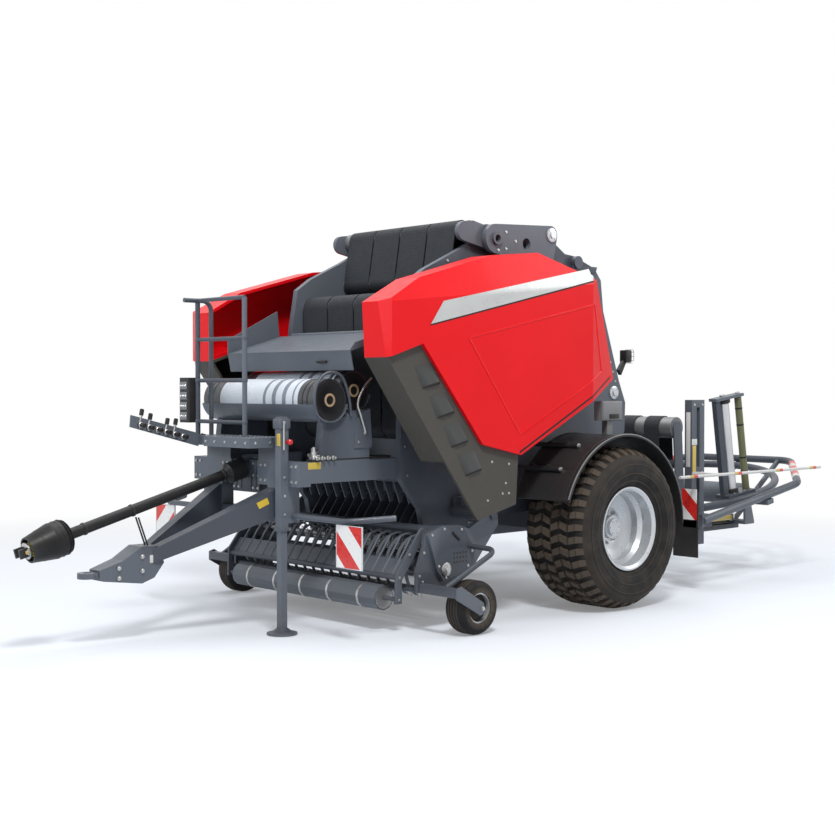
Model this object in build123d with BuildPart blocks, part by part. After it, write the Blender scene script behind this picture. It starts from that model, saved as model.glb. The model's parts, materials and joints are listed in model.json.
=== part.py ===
"""Towed round baler with an in-line bale wrapper.

Millimetres. +X points forward to the tow eye, +Y to the left, +Z up, ground at Z = 0.
Outlines are drawn as (distance ahead of the main axle, height above the ground).
"""

import os

from build123d import *

os.makedirs("parts", exist_ok=True)

# ---- overall stations -------------------------------------------------------
AXLE_X = -280.0  # main axle, behind the middle of the machine
FIT = 0.3  # gap between pieces that seat on each other
RUN = 0.05  # radial clearance of a shaft in its bore
SIDES = (("left", 1), ("right", -1))

# ---- main wheels ------------------------------------------------------------
TYRE_R = 585.0
TYRE_W = 600.0
WHEEL_Y = 1130.0
RIM_R = 284.0  # bead seat
RIM_W = 510.0
STUB_R = 45.0

# ---- bale chamber -----------------------------------------------------------
CHAMBER_HALF = 600.0  # inside half width
PLATE = 50.0  # side plate with its flanges
PIVOT = (720.0, 2667.0)  # tailgate pivot
SPLIT_FOOT = (-60.0, 690.0)  # lower end of the joint between chamber and tailgate
SPLIT_GAP = 5.0
PIVOT_PIN_R = 45.0
BELT_T = 8.0
BELT_COUNT = 4
BELT_PITCH = (2 * CHAMBER_HALF - 20) / BELT_COUNT
BELT_W = BELT_PITCH - 15
GATE_PLATE = (CHAMBER_HALF, CHAMBER_HALF + 40)
EAR_PLATE = (CHAMBER_HALF + 100, CHAMBER_HALF + 140)
TENSION_ARM_Y = (CHAMBER_HALF + PLATE + 5, CHAMBER_HALF + PLATE + 40)

# ---- frame ------------------------------------------------------------------
RAIL_IN = CHAMBER_HALF + PLATE
RAIL_OUT = RAIL_IN + 80
RAIL_Z = (690.0, 830.0)
LOW_RAIL_Z = (TYRE_R - 255, TYRE_R - 135)
BED_Z = LOW_RAIL_Z[0]  # underside of the wrapper's bed
PORTAL_X = (2300.0, 2395.0)
LONG_BEAM_Y = (CHAMBER_HALF - 80, CHAMBER_HALF)
LONG_BEAM_Z = (980.0, 1120.0)

# ---- drawbar, jack and drive shaft -------------------------------------------
EYE_X = 3580.0
EYE_R = 25.0
EYE_T = 35.0
EYE_TOP_Z = 462.0
JACK_TUBE = 60.0
JACK_LEG = 48.0
JACK_X = PORTAL_X[1] + FIT + JACK_TUBE / 2
JACK_Y = 455.0
SHAFT_REAR = (2395.0, 1066.0)
SHAFT_FRONT = (4040.0, 613.0)

# ---- pickup and feed ----------------------------------------------------------
PICKUP_PIVOT = (1050.0, 720.0)
PICKUP_HALF = 1000.0  # inner faces of the pickup side plates
REEL = (1530.0, 400.0)
GUARD_R = 215.0
ROLLER = (1848.0, 217.0)
ROLLER_R = 85.0
GUARD_HINGE = (1620.0, 640.0)
ROTOR = (1170.0, 660.0)
ROTOR_R = 210.0
ROTOR_SHAFT_R = 30.0
GAUGE = (1510.0, 175.0)
GAUGE_R = 175.0
GAUGE_Y = 1278.0
GAUGE_W = 165.0

# ---- side panels --------------------------------------------------------------
PANEL_IN = 870.0
PANEL_OUT = 1190.0
PANEL_T = 22.0
PANEL_HINGE = (900.0, 2430.0)  # (Y, Z)

# ---- wrapper -------------------------------------------------------------------
RING_X = -2150.0
RING_Z = BED_Z + 365
RING_TILT = 9.5
RING_R = 1030.0
RING_TUBE_R = 33.0
HOOP_HALF = 1140.0
HOOP_REAR = 1322.0
TABLE_PIVOT = (-1680.0, BED_Z + 310)
TABLE_TIP = (-1640.0, BED_Z + 930)
TABLE_ROLLER_R = 90.0


def at(x):
    """Station of a point given as its distance ahead of the main axle."""
    return AXLE_X + x


def slab(outline, y_low, y_high):
    """Flat plate cut to an XZ outline, filling the space between two Y values."""
    with BuildPart() as plate:
        with BuildSketch(Plane.XZ.offset(-y_high)):
            Polygon(*[(at(x), z) for x, z in outline], align=None)
        extrude(amount=y_high - y_low)
    return plate.part


def block(x, y, z):
    """Rectangular block between pairs of X, Y and Z limits."""
    with BuildPart() as body:
        with Locations((at((x[0] + x[1]) / 2), (y[0] + y[1]) / 2, (z[0] + z[1]) / 2)):
            Box(x[1] - x[0], y[1] - y[0], z[1] - z[0])
    return body.part


def drum(centre, radius, y_low, y_high):
    """Round bar along Y, centred at an (x, z) point."""
    with BuildPart() as body:
        with BuildSketch(Plane.XZ.offset(-y_high)):
            with Locations((at(centre[0]), centre[1])):
                Circle(radius)
        extrude(amount=y_high - y_low)
    return body.part


def bar(start, end, radius):
    """Straight round bar between two (x, y, z) points."""
    first = Vector(at(start[0]), start[1], start[2])
    last = Vector(at(end[0]), end[1], end[2])
    with BuildPart() as rod:
        with BuildSketch(Plane(origin=first, z_dir=last - first)):
            Circle(radius)
        extrude(amount=(last - first).length)
    return rod.part


def bent_tube(points, bend, radius):
    """Round tube along straight runs joined by arcs of one radius."""
    with BuildPart() as tube:
        with BuildLine() as route:
            FilletPolyline(*[(at(x), y, z) for x, y, z in points], radius=bend)
        with BuildSketch(Plane(origin=route.line @ 0, z_dir=route.line % 0)):
            Circle(radius)
        sweep()
    return tube.part


def belt_loop(rollers):
    """Endless belt stretched round rollers given as (x, z, radius), as an XZ face."""
    with BuildSketch(Plane.XZ) as face:
        with BuildSketch(Plane.XZ, mode=Mode.PRIVATE) as outside:
            for x, z, radius in rollers:
                with Locations((at(x), z)):
                    Circle(radius + FIT + BELT_T)
            make_hull()
        with BuildSketch(Plane.XZ, mode=Mode.PRIVATE) as inside:
            for x, z, radius in rollers:
                with Locations((at(x), z)):
                    Circle(radius + FIT)
            make_hull()
        add(outside.sketch)
        add(inside.sketch, mode=Mode.SUBTRACT)
    return face.sketch


def split_point(distance, offset):
    """Point on the joint line, a distance down from the pivot and offset to the rear."""
    along = (Vector(*SPLIT_FOOT) - Vector(*PIVOT)).normalized()
    rearward = Vector(along.Y, -along.X)
    spot = Vector(*PIVOT) + along * distance + rearward * offset
    return (spot.X, spot.Y)


SPLIT_LENGTH = (Vector(*SPLIT_FOOT) - Vector(*PIVOT)).length
PIVOT_BOSS_R = 110.0

# =============================================================================
# Chassis
# =============================================================================
with BuildPart() as main_frame:
    for sign in (1, -1):
        rail_y = sorted((sign * RAIL_IN, sign * RAIL_OUT))
        beam_y = sorted((sign * LONG_BEAM_Y[0], sign * LONG_BEAM_Y[1]))
        # rail beside the chamber, carrying the pickup pivot at its front end
        add(block((-90, PICKUP_PIVOT[0] + 10), rail_y, RAIL_Z))
        pin_y = sorted((sign * RAIL_IN, sign * (PICKUP_HALF - 5)))
        add(drum(PICKUP_PIVOT, 40, *pin_y))
        end_y = sorted((sign * (PICKUP_HALF - 10), sign * (PICKUP_HALF + 45)))
        add(drum(PICKUP_PIVOT, 30, *end_y))
        # beam ahead of the chamber and its half of the front portal
        add(block((1500, PORTAL_X[0]), beam_y, LONG_BEAM_Z))
        add(block(PORTAL_X, sorted((sign * 150, sign * LONG_BEAM_Y[1])), (960, LONG_BEAM_Z[1])))
        add(block(PORTAL_X, sorted((sign * 260, sign * 480)), (720, 960)))
    add(block(PORTAL_X, (-260, 260), (720, 800)))
    # shelf for the hydraulic valves
    add(block((1880, 2060), (LONG_BEAM_Y[0] - 280, LONG_BEAM_Y[0]), (1080, 1095)))
main_frame.part.label = "main_frame"
export_step(main_frame.part, "parts/main_frame.step")

with BuildPart() as axle:
    add(block((-60, 60), (-800, 800), (TYRE_R - 60, TYRE_R + 60)))
    for sign in (1, -1):
        rail_y = sorted((sign * RAIL_IN, sign * RAIL_OUT))
        add(block((-90, 90), rail_y, (TYRE_R + 60, RAIL_Z[0])))
        add(block((-60, 60), rail_y, (LOW_RAIL_Z[1], TYRE_R - 60)))
        drum_y = sorted((sign * 795, sign * 850))
        add(drum((0, TYRE_R), 165, *drum_y))
        stub_y = sorted((sign * 795, sign * (WHEEL_Y + 95)))
        add(drum((0, TYRE_R), STUB_R, *stub_y))
axle.part.label = "axle"
export_step(axle.part, "parts/axle.step")

# =============================================================================
# Main wheels: rim and tyre sections as (radius, distance from the wheel's centre)
# =============================================================================
half_rim = RIM_W / 2
rim_section = [
    (RIM_R + 18, -half_rim),
    (RIM_R + 18, -half_rim + 12),
    (RIM_R, -half_rim + 19),
    (RIM_R, -150),
    (RIM_R - 22, -120),
    (RIM_R - 22, 120),
    (RIM_R, 150),
    (RIM_R, half_rim - 19),
    (RIM_R + 18, half_rim - 12),
    (RIM_R + 18, half_rim),
    (RIM_R + 6, half_rim),
    (RIM_R - 12, half_rim - 14),
    (RIM_R - 12, 156),
    (RIM_R - 34, 126),
    (RIM_R - 34, 72),
    (150, 40),
    (85, 40),
    (85, 100),
    (STUB_R + RUN, 100),
    (STUB_R + RUN, -60),
    (85, -60),
    (85, 26),
    (150, 26),
    (RIM_R - 34, 56),
    (RIM_R - 34, -126),
    (RIM_R - 12, -156),
    (RIM_R - 12, -half_rim + 14),
    (RIM_R + 6, -half_rim),
]
half_tyre = TYRE_W / 2
WALL = TYRE_R - RIM_R
tyre_half_section = [
    (RIM_R + FIT, half_rim - 50),
    (RIM_R + FIT, half_rim - 20),
    (RIM_R + 19, half_rim - 19),
    (RIM_R + 46, half_tyre - 38),
    (RIM_R + 0.485 * WALL, half_tyre - 2),
    (RIM_R + 0.72 * WALL, half_tyre - 14),
    (RIM_R + 0.87 * WALL, half_tyre - 48),
    (TYRE_R - 14, half_tyre - 95),
    (TYRE_R, half_tyre - 150),
]
tyre_half_inside = [
    (TYRE_R - 40, half_tyre - 160),
    (TYRE_R - 56, half_tyre - 112),
    (RIM_R + 0.72 * WALL, half_tyre - 60),
    (RIM_R + 0.485 * WALL, half_tyre - 36),
    (RIM_R + 46, half_rim - 30),
]
tyre_section = [(r, y) for r, y in tyre_half_section]
tyre_section += [(r, -y) for r, y in reversed(tyre_half_section)]
tyre_section += [(r, -y) for r, y in reversed(tyre_half_inside)]
tyre_section += [(r, y) for r, y in tyre_half_inside]

for side, sign in SIDES:
    wheel_axis = Axis((AXLE_X, 0, TYRE_R), (0, 1, 0))
    with BuildPart() as rim:
        with BuildSketch(Plane.XY.offset(TYRE_R)):
            Polygon(*[(AXLE_X + r, sign * (WHEEL_Y + y)) for r, y in rim_section], align=None)
        revolve(axis=wheel_axis)
        cap_y = sorted((sign * (WHEEL_Y + 100), sign * (WHEEL_Y + 118)))
        add(drum((0, TYRE_R), 62, *cap_y))
    rim.part.label = f"rim_{side}"
    export_step(rim.part, f"parts/rim_{side}.step")

    with BuildPart() as tyre:
        with BuildSketch(Plane.XY.offset(TYRE_R)):
            Polygon(*[(AXLE_X + r, sign * (WHEEL_Y + y)) for r, y in tyre_section], align=None)
        revolve(axis=wheel_axis)
    tyre.part.label = f"tyre_{side}"
    export_step(tyre.part, f"parts/tyre_{side}.step")

# =============================================================================
# Drawbar, tow eye, jack
# =============================================================================
TONGUE_X = 3290.0  # rear end of the tongue, held between the head's cheeks
TONGUE_Z = (EYE_TOP_Z - EYE_T, EYE_TOP_Z)
head_outline = [
    (3080, 490),
    (3110, 600),
    (3238, 602),
    (3367, 525),
    (3528, TONGUE_Z[1] + 12),
    (3528, TONGUE_Z[0] - 15),
    (3500, 405),
    (3238, 370),
    (3150, 400),
]
head_plan = [(3050, 85), (3300, 76), (3540, 62), (3540, -62), (3300, -76), (3050, -85)]
with BuildPart() as drawbar:
    for sign in (1, -1):
        with BuildSketch(Plane.YZ.offset(at(PORTAL_X[1]))):
            with Locations((sign * 320, 850)):
                Rectangle(100, 190)
        with BuildSketch(Plane.YZ.offset(at(3160))):
            with Locations((sign * 45, 535)):
                Rectangle(80, 90)
        loft()
    # head: a side outline cut to a plan that narrows towards the eye
    with BuildSketch(Plane.XZ):
        Polygon(*[(at(x), z) for x, z in head_outline], align=None)
    cheeks = extrude(amount=85, both=True, mode=Mode.PRIVATE)
    with BuildSketch(Plane.XY.offset(300)):
        Polygon(*[(at(x), y) for x, y in head_plan], align=None)
    plan = extrude(amount=400, mode=Mode.PRIVATE)
    add(cheeks & plan)
    slot_z = (TONGUE_Z[0] - FIT, TONGUE_Z[1] + FIT)
    add(block((TONGUE_X, 3600), (-50 - FIT, 50 + FIT), slot_z), mode=Mode.SUBTRACT)
drawbar.part.label = "drawbar"
export_step(drawbar.part, "parts/drawbar.step")

with BuildPart() as tow_eye:
    with BuildSketch(Plane.XY.offset(EYE_TOP_Z)):
        with Locations((at((EYE_X + TONGUE_X + FIT) / 2), 0)):
            Rectangle(EYE_X - TONGUE_X - FIT, 100)
        with Locations((at(EYE_X), 0)):
            Circle(60)
            Circle(EYE_R, mode=Mode.SUBTRACT)
    extrude(amount=-EYE_T)
tow_eye.part.label = "tow_eye"
export_step(tow_eye.part, "parts/tow_eye.step")

JACK_TUBE_Z = (670.0, 1400.0)
JACK_LEG_TOP = 900.0
with BuildPart() as jack_tube:
    with BuildSketch(Plane.XY.offset(JACK_TUBE_Z[0])):
        with Locations((at(JACK_X), JACK_Y)):
            Rectangle(JACK_TUBE, JACK_TUBE)
            Rectangle(JACK_LEG + 1, JACK_LEG + 1, mode=Mode.SUBTRACT)
    extrude(amount=JACK_TUBE_Z[1] - JACK_TUBE_Z[0])
    with BuildSketch(Plane.XY.offset(JACK_TUBE_Z[1])):
        with Locations((at(JACK_X), JACK_Y)):
            Rectangle(JACK_TUBE, JACK_TUBE)
    extrude(amount=12)
jack_tube.part.label = "jack_tube"
export_step(jack_tube.part, "parts/jack_tube.step")

with BuildPart() as jack_leg:
    with Locations((at(JACK_X), JACK_Y, 0)):
        Cylinder(100, 12, align=(Align.CENTER, Align.CENTER, Align.MIN))
        Box(JACK_LEG, JACK_LEG, JACK_LEG_TOP, align=(Align.CENTER, Align.CENTER, Align.MIN))
jack_leg.part.label = "jack_leg"
export_step(jack_leg.part, "parts/jack_leg.step")

# =============================================================================
# Gearbox and drive shaft
# =============================================================================
shaft_rear = Vector(at(SHAFT_REAR[0]), 0, SHAFT_REAR[1])
shaft_front = Vector(at(SHAFT_FRONT[0]), 0, SHAFT_FRONT[1])
shaft_plane = Plane(origin=shaft_rear, z_dir=shaft_front - shaft_rear)
SHAFT_LENGTH = (shaft_front - shaft_rear).length
INPUT_R = 17.4

with BuildPart() as gearbox:
    add(block((2200, PORTAL_X[1] - 15), (-150, 150), (900, LONG_BEAM_Z[1] - 2)))
    with BuildSketch(shaft_plane.offset(-60)):
        Circle(55)
    extrude(amount=70)
    with BuildSketch(shaft_plane):
        Circle(INPUT_R)
    extrude(amount=120)
gearbox.part.label = "gearbox"
export_step(gearbox.part, "parts/gearbox.step")

# drive shaft as (distance along the shaft, radius) steps
shaft_steps = [
    (20, 70),
    (140, 70),
    (170, 35),
    (SHAFT_LENGTH - 345, 35),
    (SHAFT_LENGTH - 335, 92),
    (SHAFT_LENGTH - 290, 112),
    (SHAFT_LENGTH - 225, 112),
    (SHAFT_LENGTH - 70, 80),
    (SHAFT_LENGTH - 70, 70),
    (SHAFT_LENGTH - 150, 66),
    (SHAFT_LENGTH - 150, 36),
    (SHAFT_LENGTH - 60, 36),
]
with BuildPart() as pto_shaft:
    profile_plane = Plane(
        origin=shaft_rear, x_dir=shaft_plane.z_dir, z_dir=Vector(0, 1, 0)
    )
    with BuildSketch(profile_plane):
        Polygon(
            (130, 0),
            (130, INPUT_R + RUN),
            (20, INPUT_R + RUN),
            *shaft_steps,
            (SHAFT_LENGTH - 60, 0),
            align=None,
        )
    revolve(axis=Axis(shaft_rear, shaft_plane.z_dir))
    # fork of the front joint
    with BuildSketch(shaft_plane.offset(SHAFT_LENGTH - 60)):
        with Locations((0, 30), (0, -30)):
            Rectangle(56, 16)
    extrude(amount=60)
pto_shaft.part.label = "pto_shaft"
export_step(pto_shaft.part, "parts/pto_shaft.step")

# =============================================================================
# Bale chamber
# =============================================================================
chamber_outline = [
    split_point(SPLIT_LENGTH, -SPLIT_GAP),
    (900, 689),
    (960, 430),
    (1250, 430),
    (1330, 560),
    (1380, 760),
    (1500, 900),
    (1560, 980),
    (1560, 1500),
    (1520, 2050),
    (1470, 2330),
    (1340, 2420),
    (1040, 2560),
    (860, 2650),
    split_point(PIVOT_BOSS_R - 30, -SPLIT_GAP),
]
HINGE_LUG_X = (560.0, 1040.0)
with BuildPart() as chamber_sides:
    for sign in (1, -1):
        inner, outer = CHAMBER_HALF, CHAMBER_HALF + PLATE
        add(slab(chamber_outline, *sorted((sign * inner, sign * outer))))
        add(drum(PIVOT, PIVOT_BOSS_R, *sorted((sign * inner, sign * outer))))
        add(drum(PIVOT, PIVOT_PIN_R, *sorted((sign * inner, sign * (outer + 110)))))
        # goosenecked lugs that carry the side panel's hinge pins
        for lug_x in HINGE_LUG_X:
            lug_y, lug_z = PANEL_HINGE
            with BuildSketch(Plane.YZ.offset(at(lug_x))):
                Polygon(
                    (sign * outer, 2230),
                    (sign * outer, 2330),
                    (sign * (lug_y - 40), 2360),
                    (sign * (lug_y - 24), lug_z),
                    (sign * (lug_y + 24), lug_z),
                    (sign * (lug_y + 10), 2310),
                    align=None,
                )
                with Locations((sign * lug_y, lug_z)):
                    Circle(24)
            extrude(amount=20)
            with BuildSketch(Plane.YZ.offset(at(lug_x))):
                with Locations((sign * lug_y, lug_z)):
                    Circle(12)
            extrude(amount=60)
    add(drum(PIVOT, 28, -800, 800), mode=Mode.SUBTRACT)
    add(drum(ROTOR, ROTOR_SHAFT_R + RUN, -CHAMBER_HALF - 25, CHAMBER_HALF + 25), mode=Mode.SUBTRACT)
chamber_sides.part.label = "chamber_sides"
export_step(chamber_sides.part, "parts/chamber_sides.step")

# belt rollers as (x, z, radius)
lower_loop = [(1345, 2190, 80), (1330, 1330, 85)]
upper_loop = [(905, 2725, 65), (960, 2390, 65), (835, 2430, 50)]
pivot_roller = (PIVOT[0], PIVOT[1], 60)
gate_rollers = [(130, 2735, 50), (-430, 2430, 58), (-730, 1560, 60), (-400, 860, 75)]
floor_rollers = [(900, 800, 85), (640, 765, 70), (380, 765, 70)]
belt_edges = [(i - (BELT_COUNT - 1) / 2) * BELT_PITCH for i in range(BELT_COUNT)]

with BuildPart() as front_belts:
    for loop in (lower_loop, upper_loop):
        for middle in belt_edges:
            extrude(belt_loop(loop).moved(Location((0, middle + BELT_W / 2, 0))), amount=BELT_W)
front_belts.part.label = "front_belts"
export_step(front_belts.part, "parts/front_belts.step")

with BuildPart() as rear_belts:
    for middle in belt_edges:
        loop_face = belt_loop([pivot_roller] + gate_rollers)
        extrude(loop_face.moved(Location((0, middle + BELT_W / 2, 0))), amount=BELT_W)
rear_belts.part.label = "rear_belts"
export_step(rear_belts.part, "parts/rear_belts.step")

with BuildPart() as front_rollers:
    for x, z, radius in lower_loop + [pivot_roller] + upper_loop[1:] + floor_rollers:
        add(drum((x, z), radius, -CHAMBER_HALF, CHAMBER_HALF))
    x, z, radius = upper_loop[0]
    add(drum((x, z), radius, -TENSION_ARM_Y[0], TENSION_ARM_Y[0]))
front_rollers.part.label = "front_rollers"
export_step(front_rollers.part, "parts/front_rollers.step")

with BuildPart() as tension_arms:
    for sign in (1, -1):
        y_low, y_high = sorted((sign * TENSION_ARM_Y[0], sign * TENSION_ARM_Y[1]))
        with BuildSketch(Plane.XZ.offset(-y_high)):
            for x, z, radius in ((*PIVOT, 80), (985, 2706, 68), (*upper_loop[0][:2], 60)):
                with Locations((at(x), z)):
                    Circle(radius)
            make_hull()
            with Locations((at(PIVOT[0]), PIVOT[1])):
                Circle(PIVOT_PIN_R + FIT, mode=Mode.SUBTRACT)
        extrude(amount=y_high - y_low)
tension_arms.part.label = "tension_arms"
export_step(tension_arms.part, "parts/tension_arms.step")

# =============================================================================
# Tailgate
# =============================================================================
gate_outline = [
    split_point(SPLIT_LENGTH, SPLIT_GAP),
    (-540, 720),
    (-870, 1250),
    (-880, 1480),
    (-800, 1650),
    (-600, 2200),
    (-570, 2440),
    (-490, 2530),
    (-250, 2610),
    (-140, 2620),
    (60, 2740),
    (130, 2795),
    (200, 2790),
    (PIVOT[0] - 120, PIVOT[1] + 60),
    split_point(PIVOT_BOSS_R + 20, SPLIT_GAP),
]
rest_bar = [(-200, 2540), (-200, 2500), (-470, 2488), (-489, 2537)]
with BuildPart() as tailgate_frame:
    for sign in (1, -1):
        add(slab(gate_outline, *sorted((sign * GATE_PLATE[0], sign * GATE_PLATE[1]))))
    with BuildSketch(Plane.XZ.offset(-900)):
        with Locations((at(PIVOT[0]), PIVOT[1])):
            Circle(PIVOT_BOSS_R + 10)
    extrude(amount=1800, mode=Mode.SUBTRACT)
    for sign in (1, -1):
        # arm plate from the pivot to the rear top roller
        y_low, y_high = sorted((sign * EAR_PLATE[0], sign * EAR_PLATE[1]))
        with BuildSketch(Plane.XZ.offset(-y_high)):
            for x, z, radius in ((*PIVOT, 105), (130, 2735, 68), (160, 2540, 55)):
                with Locations((at(x), z)):
                    Circle(radius)
            make_hull()
            with Locations((at(PIVOT[0]), PIVOT[1])):
                Circle(PIVOT_PIN_R + RUN, mode=Mode.SUBTRACT)
            with Locations((at(400), 2650)):
                Circle(42, mode=Mode.SUBTRACT)
        extrude(amount=y_high - y_low)
        spacer_y = sorted((sign * GATE_PLATE[1], sign * EAR_PLATE[0]))
        add(block((90, 210), spacer_y, (2570, 2720)))
        # bearing cap and flat rest bar behind the arm
        add(drum((-247, 2560), 48, *sorted((sign * GATE_PLATE[1], sign * (GATE_PLATE[1] + 50)))))
        add(slab(rest_bar, *sorted((sign * GATE_PLATE[1], sign * (GATE_PLATE[1] + 30)))))
    add(drum((-490, 770), 35, -GATE_PLATE[0], GATE_PLATE[0]))
tailgate_frame.part.label = "tailgate_frame"
export_step(tailgate_frame.part, "parts/tailgate_frame.step")

with BuildPart() as rear_rollers:
    for x, z, radius in gate_rollers:
        add(drum((x, z), radius, -GATE_PLATE[0], GATE_PLATE[0]))
rear_rollers.part.label = "rear_rollers"
export_step(rear_rollers.part, "parts/rear_rollers.step")

# =============================================================================
# Feed rotor, intake comb
# =============================================================================
STAR_COUNT = 12
star_pitch = 2 * (CHAMBER_HALF - 60) / (STAR_COUNT - 1)
with BuildPart() as feed_rotor:
    add(drum(ROTOR, 90, -CHAMBER_HALF + 5, CHAMBER_HALF - 5))
    with BuildSketch(Plane.XZ.offset(-CHAMBER_HALF + 60)):
        with Locations((at(ROTOR[0]), ROTOR[1])):
            RegularPolygon(ROTOR_R, 5)
    stars = extrude(amount=12, mode=Mode.PRIVATE)
    for i in range(STAR_COUNT):
        add(stars.moved(Location((0, -i * star_pitch, 0))))
    add(drum(ROTOR, ROTOR_SHAFT_R, -CHAMBER_HALF - 20, CHAMBER_HALF + 20))
feed_rotor.part.label = "feed_rotor"
export_step(feed_rotor.part, "parts/feed_rotor.step")

with BuildPart() as intake_comb:
    add(block((1415, 1495), (-CHAMBER_HALF, CHAMBER_HALF), (950, 1030)))
    for i in range(STAR_COUNT + 1):
        y = (i - STAR_COUNT / 2) * star_pitch
        add(slab([(1490, 955), (1420, 955), (1400, 810), (1430, 800)], y - 6, y + 6))
intake_comb.part.label = "intake_comb"
export_step(intake_comb.part, "parts/intake_comb.step")

# =============================================================================
# Pickup
# =============================================================================
pickup_plate = [
    (1000, 660),
    (1010, 755),
    (1070, 755),
    (1283, 650),
    (1379, 681),
    (1560, 691),
    (1686, 641),
    (1700, 560),
    (1760, 400),
    (1760, 262),
    (1700, 262),
    (1480, 270),
    (1250, 380),
]
cover_outline = [
    (1379, 681),
    (1251, 510),
    (1303, 384),
    (1545, 321),
    (1610, 400),
    (1686, 641),
    (1560, 691),
]
gauge_arm = [(1745, 322), (1700, 335), (1500, 212), (1486, 150), (1530, 132), (1745, 255)]
COVER_Y = PICKUP_HALF + 60  # outer face of the pickup's side covers
GUARD_STRIPS = 19
GUARD_STRIP_W = 28.0
GUARD_STRIP_T = 6.0
REEL_SHAFT_R = 20.0
GUARD_PIN_R = 12.0
CROSS_TUBE_R = 30.0
STRIPPER_R = 16.0
strip_pitch = 2 * (PICKUP_HALF - 100) / (GUARD_STRIPS - 1)


def round_reel(angle, radius):
    """Point at an angle up from straight ahead, at a radius from the reel's axis."""
    spot = Vector(*REEL) + Vector(radius, 0).rotate(Axis.Z, angle)
    return (spot.X, spot.Y)


CROSS_TUBE = round_reel(100, GUARD_R + CROSS_TUBE_R + FIT)
STRIPPER = round_reel(-33.7, GUARD_R + STRIPPER_R + FIT)
with BuildPart() as guard_strips:
    with BuildSketch(Plane.XZ.offset(PICKUP_HALF - 100)) as strip_face:
        with Locations((at(REEL[0]), REEL[1])):
            Circle(GUARD_R)
            Circle(GUARD_R - GUARD_STRIP_T, mode=Mode.SUBTRACT)
            Polygon((0, 0), (-600, 600), (-600, -600), (0, -600), (420, -600), align=None, mode=Mode.SUBTRACT)
    strip = extrude(amount=GUARD_STRIP_W / 2, both=True, mode=Mode.PRIVATE)
    for i in range(GUARD_STRIPS):
        add(strip.moved(Location((0, i * strip_pitch, 0))))
guard_strips.part.label = "guard_strips"
export_step(guard_strips.part, "parts/guard_strips.step")

with BuildPart() as pickup_frame:
    for sign in (1, -1):
        add(slab(pickup_plate, *sorted((sign * PICKUP_HALF, sign * (PICKUP_HALF + 30)))))
        add(slab(cover_outline, *sorted((sign * (PICKUP_HALF + 30), sign * COVER_Y))))
        hub_y = sorted((sign * (PICKUP_HALF - 40), sign * PICKUP_HALF))
        add(drum(GUARD_HINGE, 22, *hub_y))
        add(drum(GUARD_HINGE, GUARD_PIN_R, *sorted((sign * (PICKUP_HALF - 74), sign * PICKUP_HALF))))
        # carrier that passes ahead of the gauge wheel to its outer side
        wheel_in, wheel_out = GAUGE_Y - GAUGE_W / 2, GAUGE_Y + GAUGE_W / 2
        add(block((1700, 1745), sorted((sign * PICKUP_HALF, sign * (wheel_out + 22))), (262, 322)))
        add(slab(gauge_arm, *sorted((sign * (wheel_out + 10), sign * (wheel_out + 22)))))
        add(drum(GAUGE, 15, *sorted((sign * (wheel_in - 5), sign * (wheel_out + 20)))))
        # bent guard tube beside the wheel
        guard_tube = [
            (1310, sign * (COVER_Y - 10), 540),
            (1285, sign * 1290, 528),
            (1705, sign * 1245, 312),
        ]
        add(bent_tube(guard_tube, 60, 18))
    # cross tube behind the guards and stripper bar in front of them
    add(drum(CROSS_TUBE, CROSS_TUBE_R, -PICKUP_HALF - 5, PICKUP_HALF + 5))
    add(drum(STRIPPER, STRIPPER_R, -PICKUP_HALF - 5, PICKUP_HALF + 5))
    add(drum(PICKUP_PIVOT, 30 + RUN, -1200, 1200), mode=Mode.SUBTRACT)
    add(drum(REEL, REEL_SHAFT_R + RUN, -PICKUP_HALF - 32, PICKUP_HALF + 32), mode=Mode.SUBTRACT)
pickup_frame.part.label = "pickup_frame"
export_step(pickup_frame.part, "parts/pickup_frame.step")

TINE_BARS = 5
TINE_BAR_R = 150.0
with BuildPart() as pickup_reel:
    add(drum(REEL, 55, -PICKUP_HALF + 20, PICKUP_HALF - 20))
    add(drum(REEL, REEL_SHAFT_R, -PICKUP_HALF - 28, PICKUP_HALF + 28))
    for sign in (1, -1):
        add(drum(REEL, TINE_BAR_R + 25, *sorted((sign * (PICKUP_HALF - 32), sign * (PICKUP_HALF - 20)))))
    with BuildSketch(Plane.XZ.offset(-PICKUP_HALF + 25)):
        with Locations((at(REEL[0]), REEL[1])):
            with PolarLocations(TINE_BAR_R, TINE_BARS):
                Circle(15)
    extrude(amount=2 * PICKUP_HALF - 50)
pickup_reel.part.label = "pickup_reel"
export_step(pickup_reel.part, "parts/pickup_reel.step")

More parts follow.
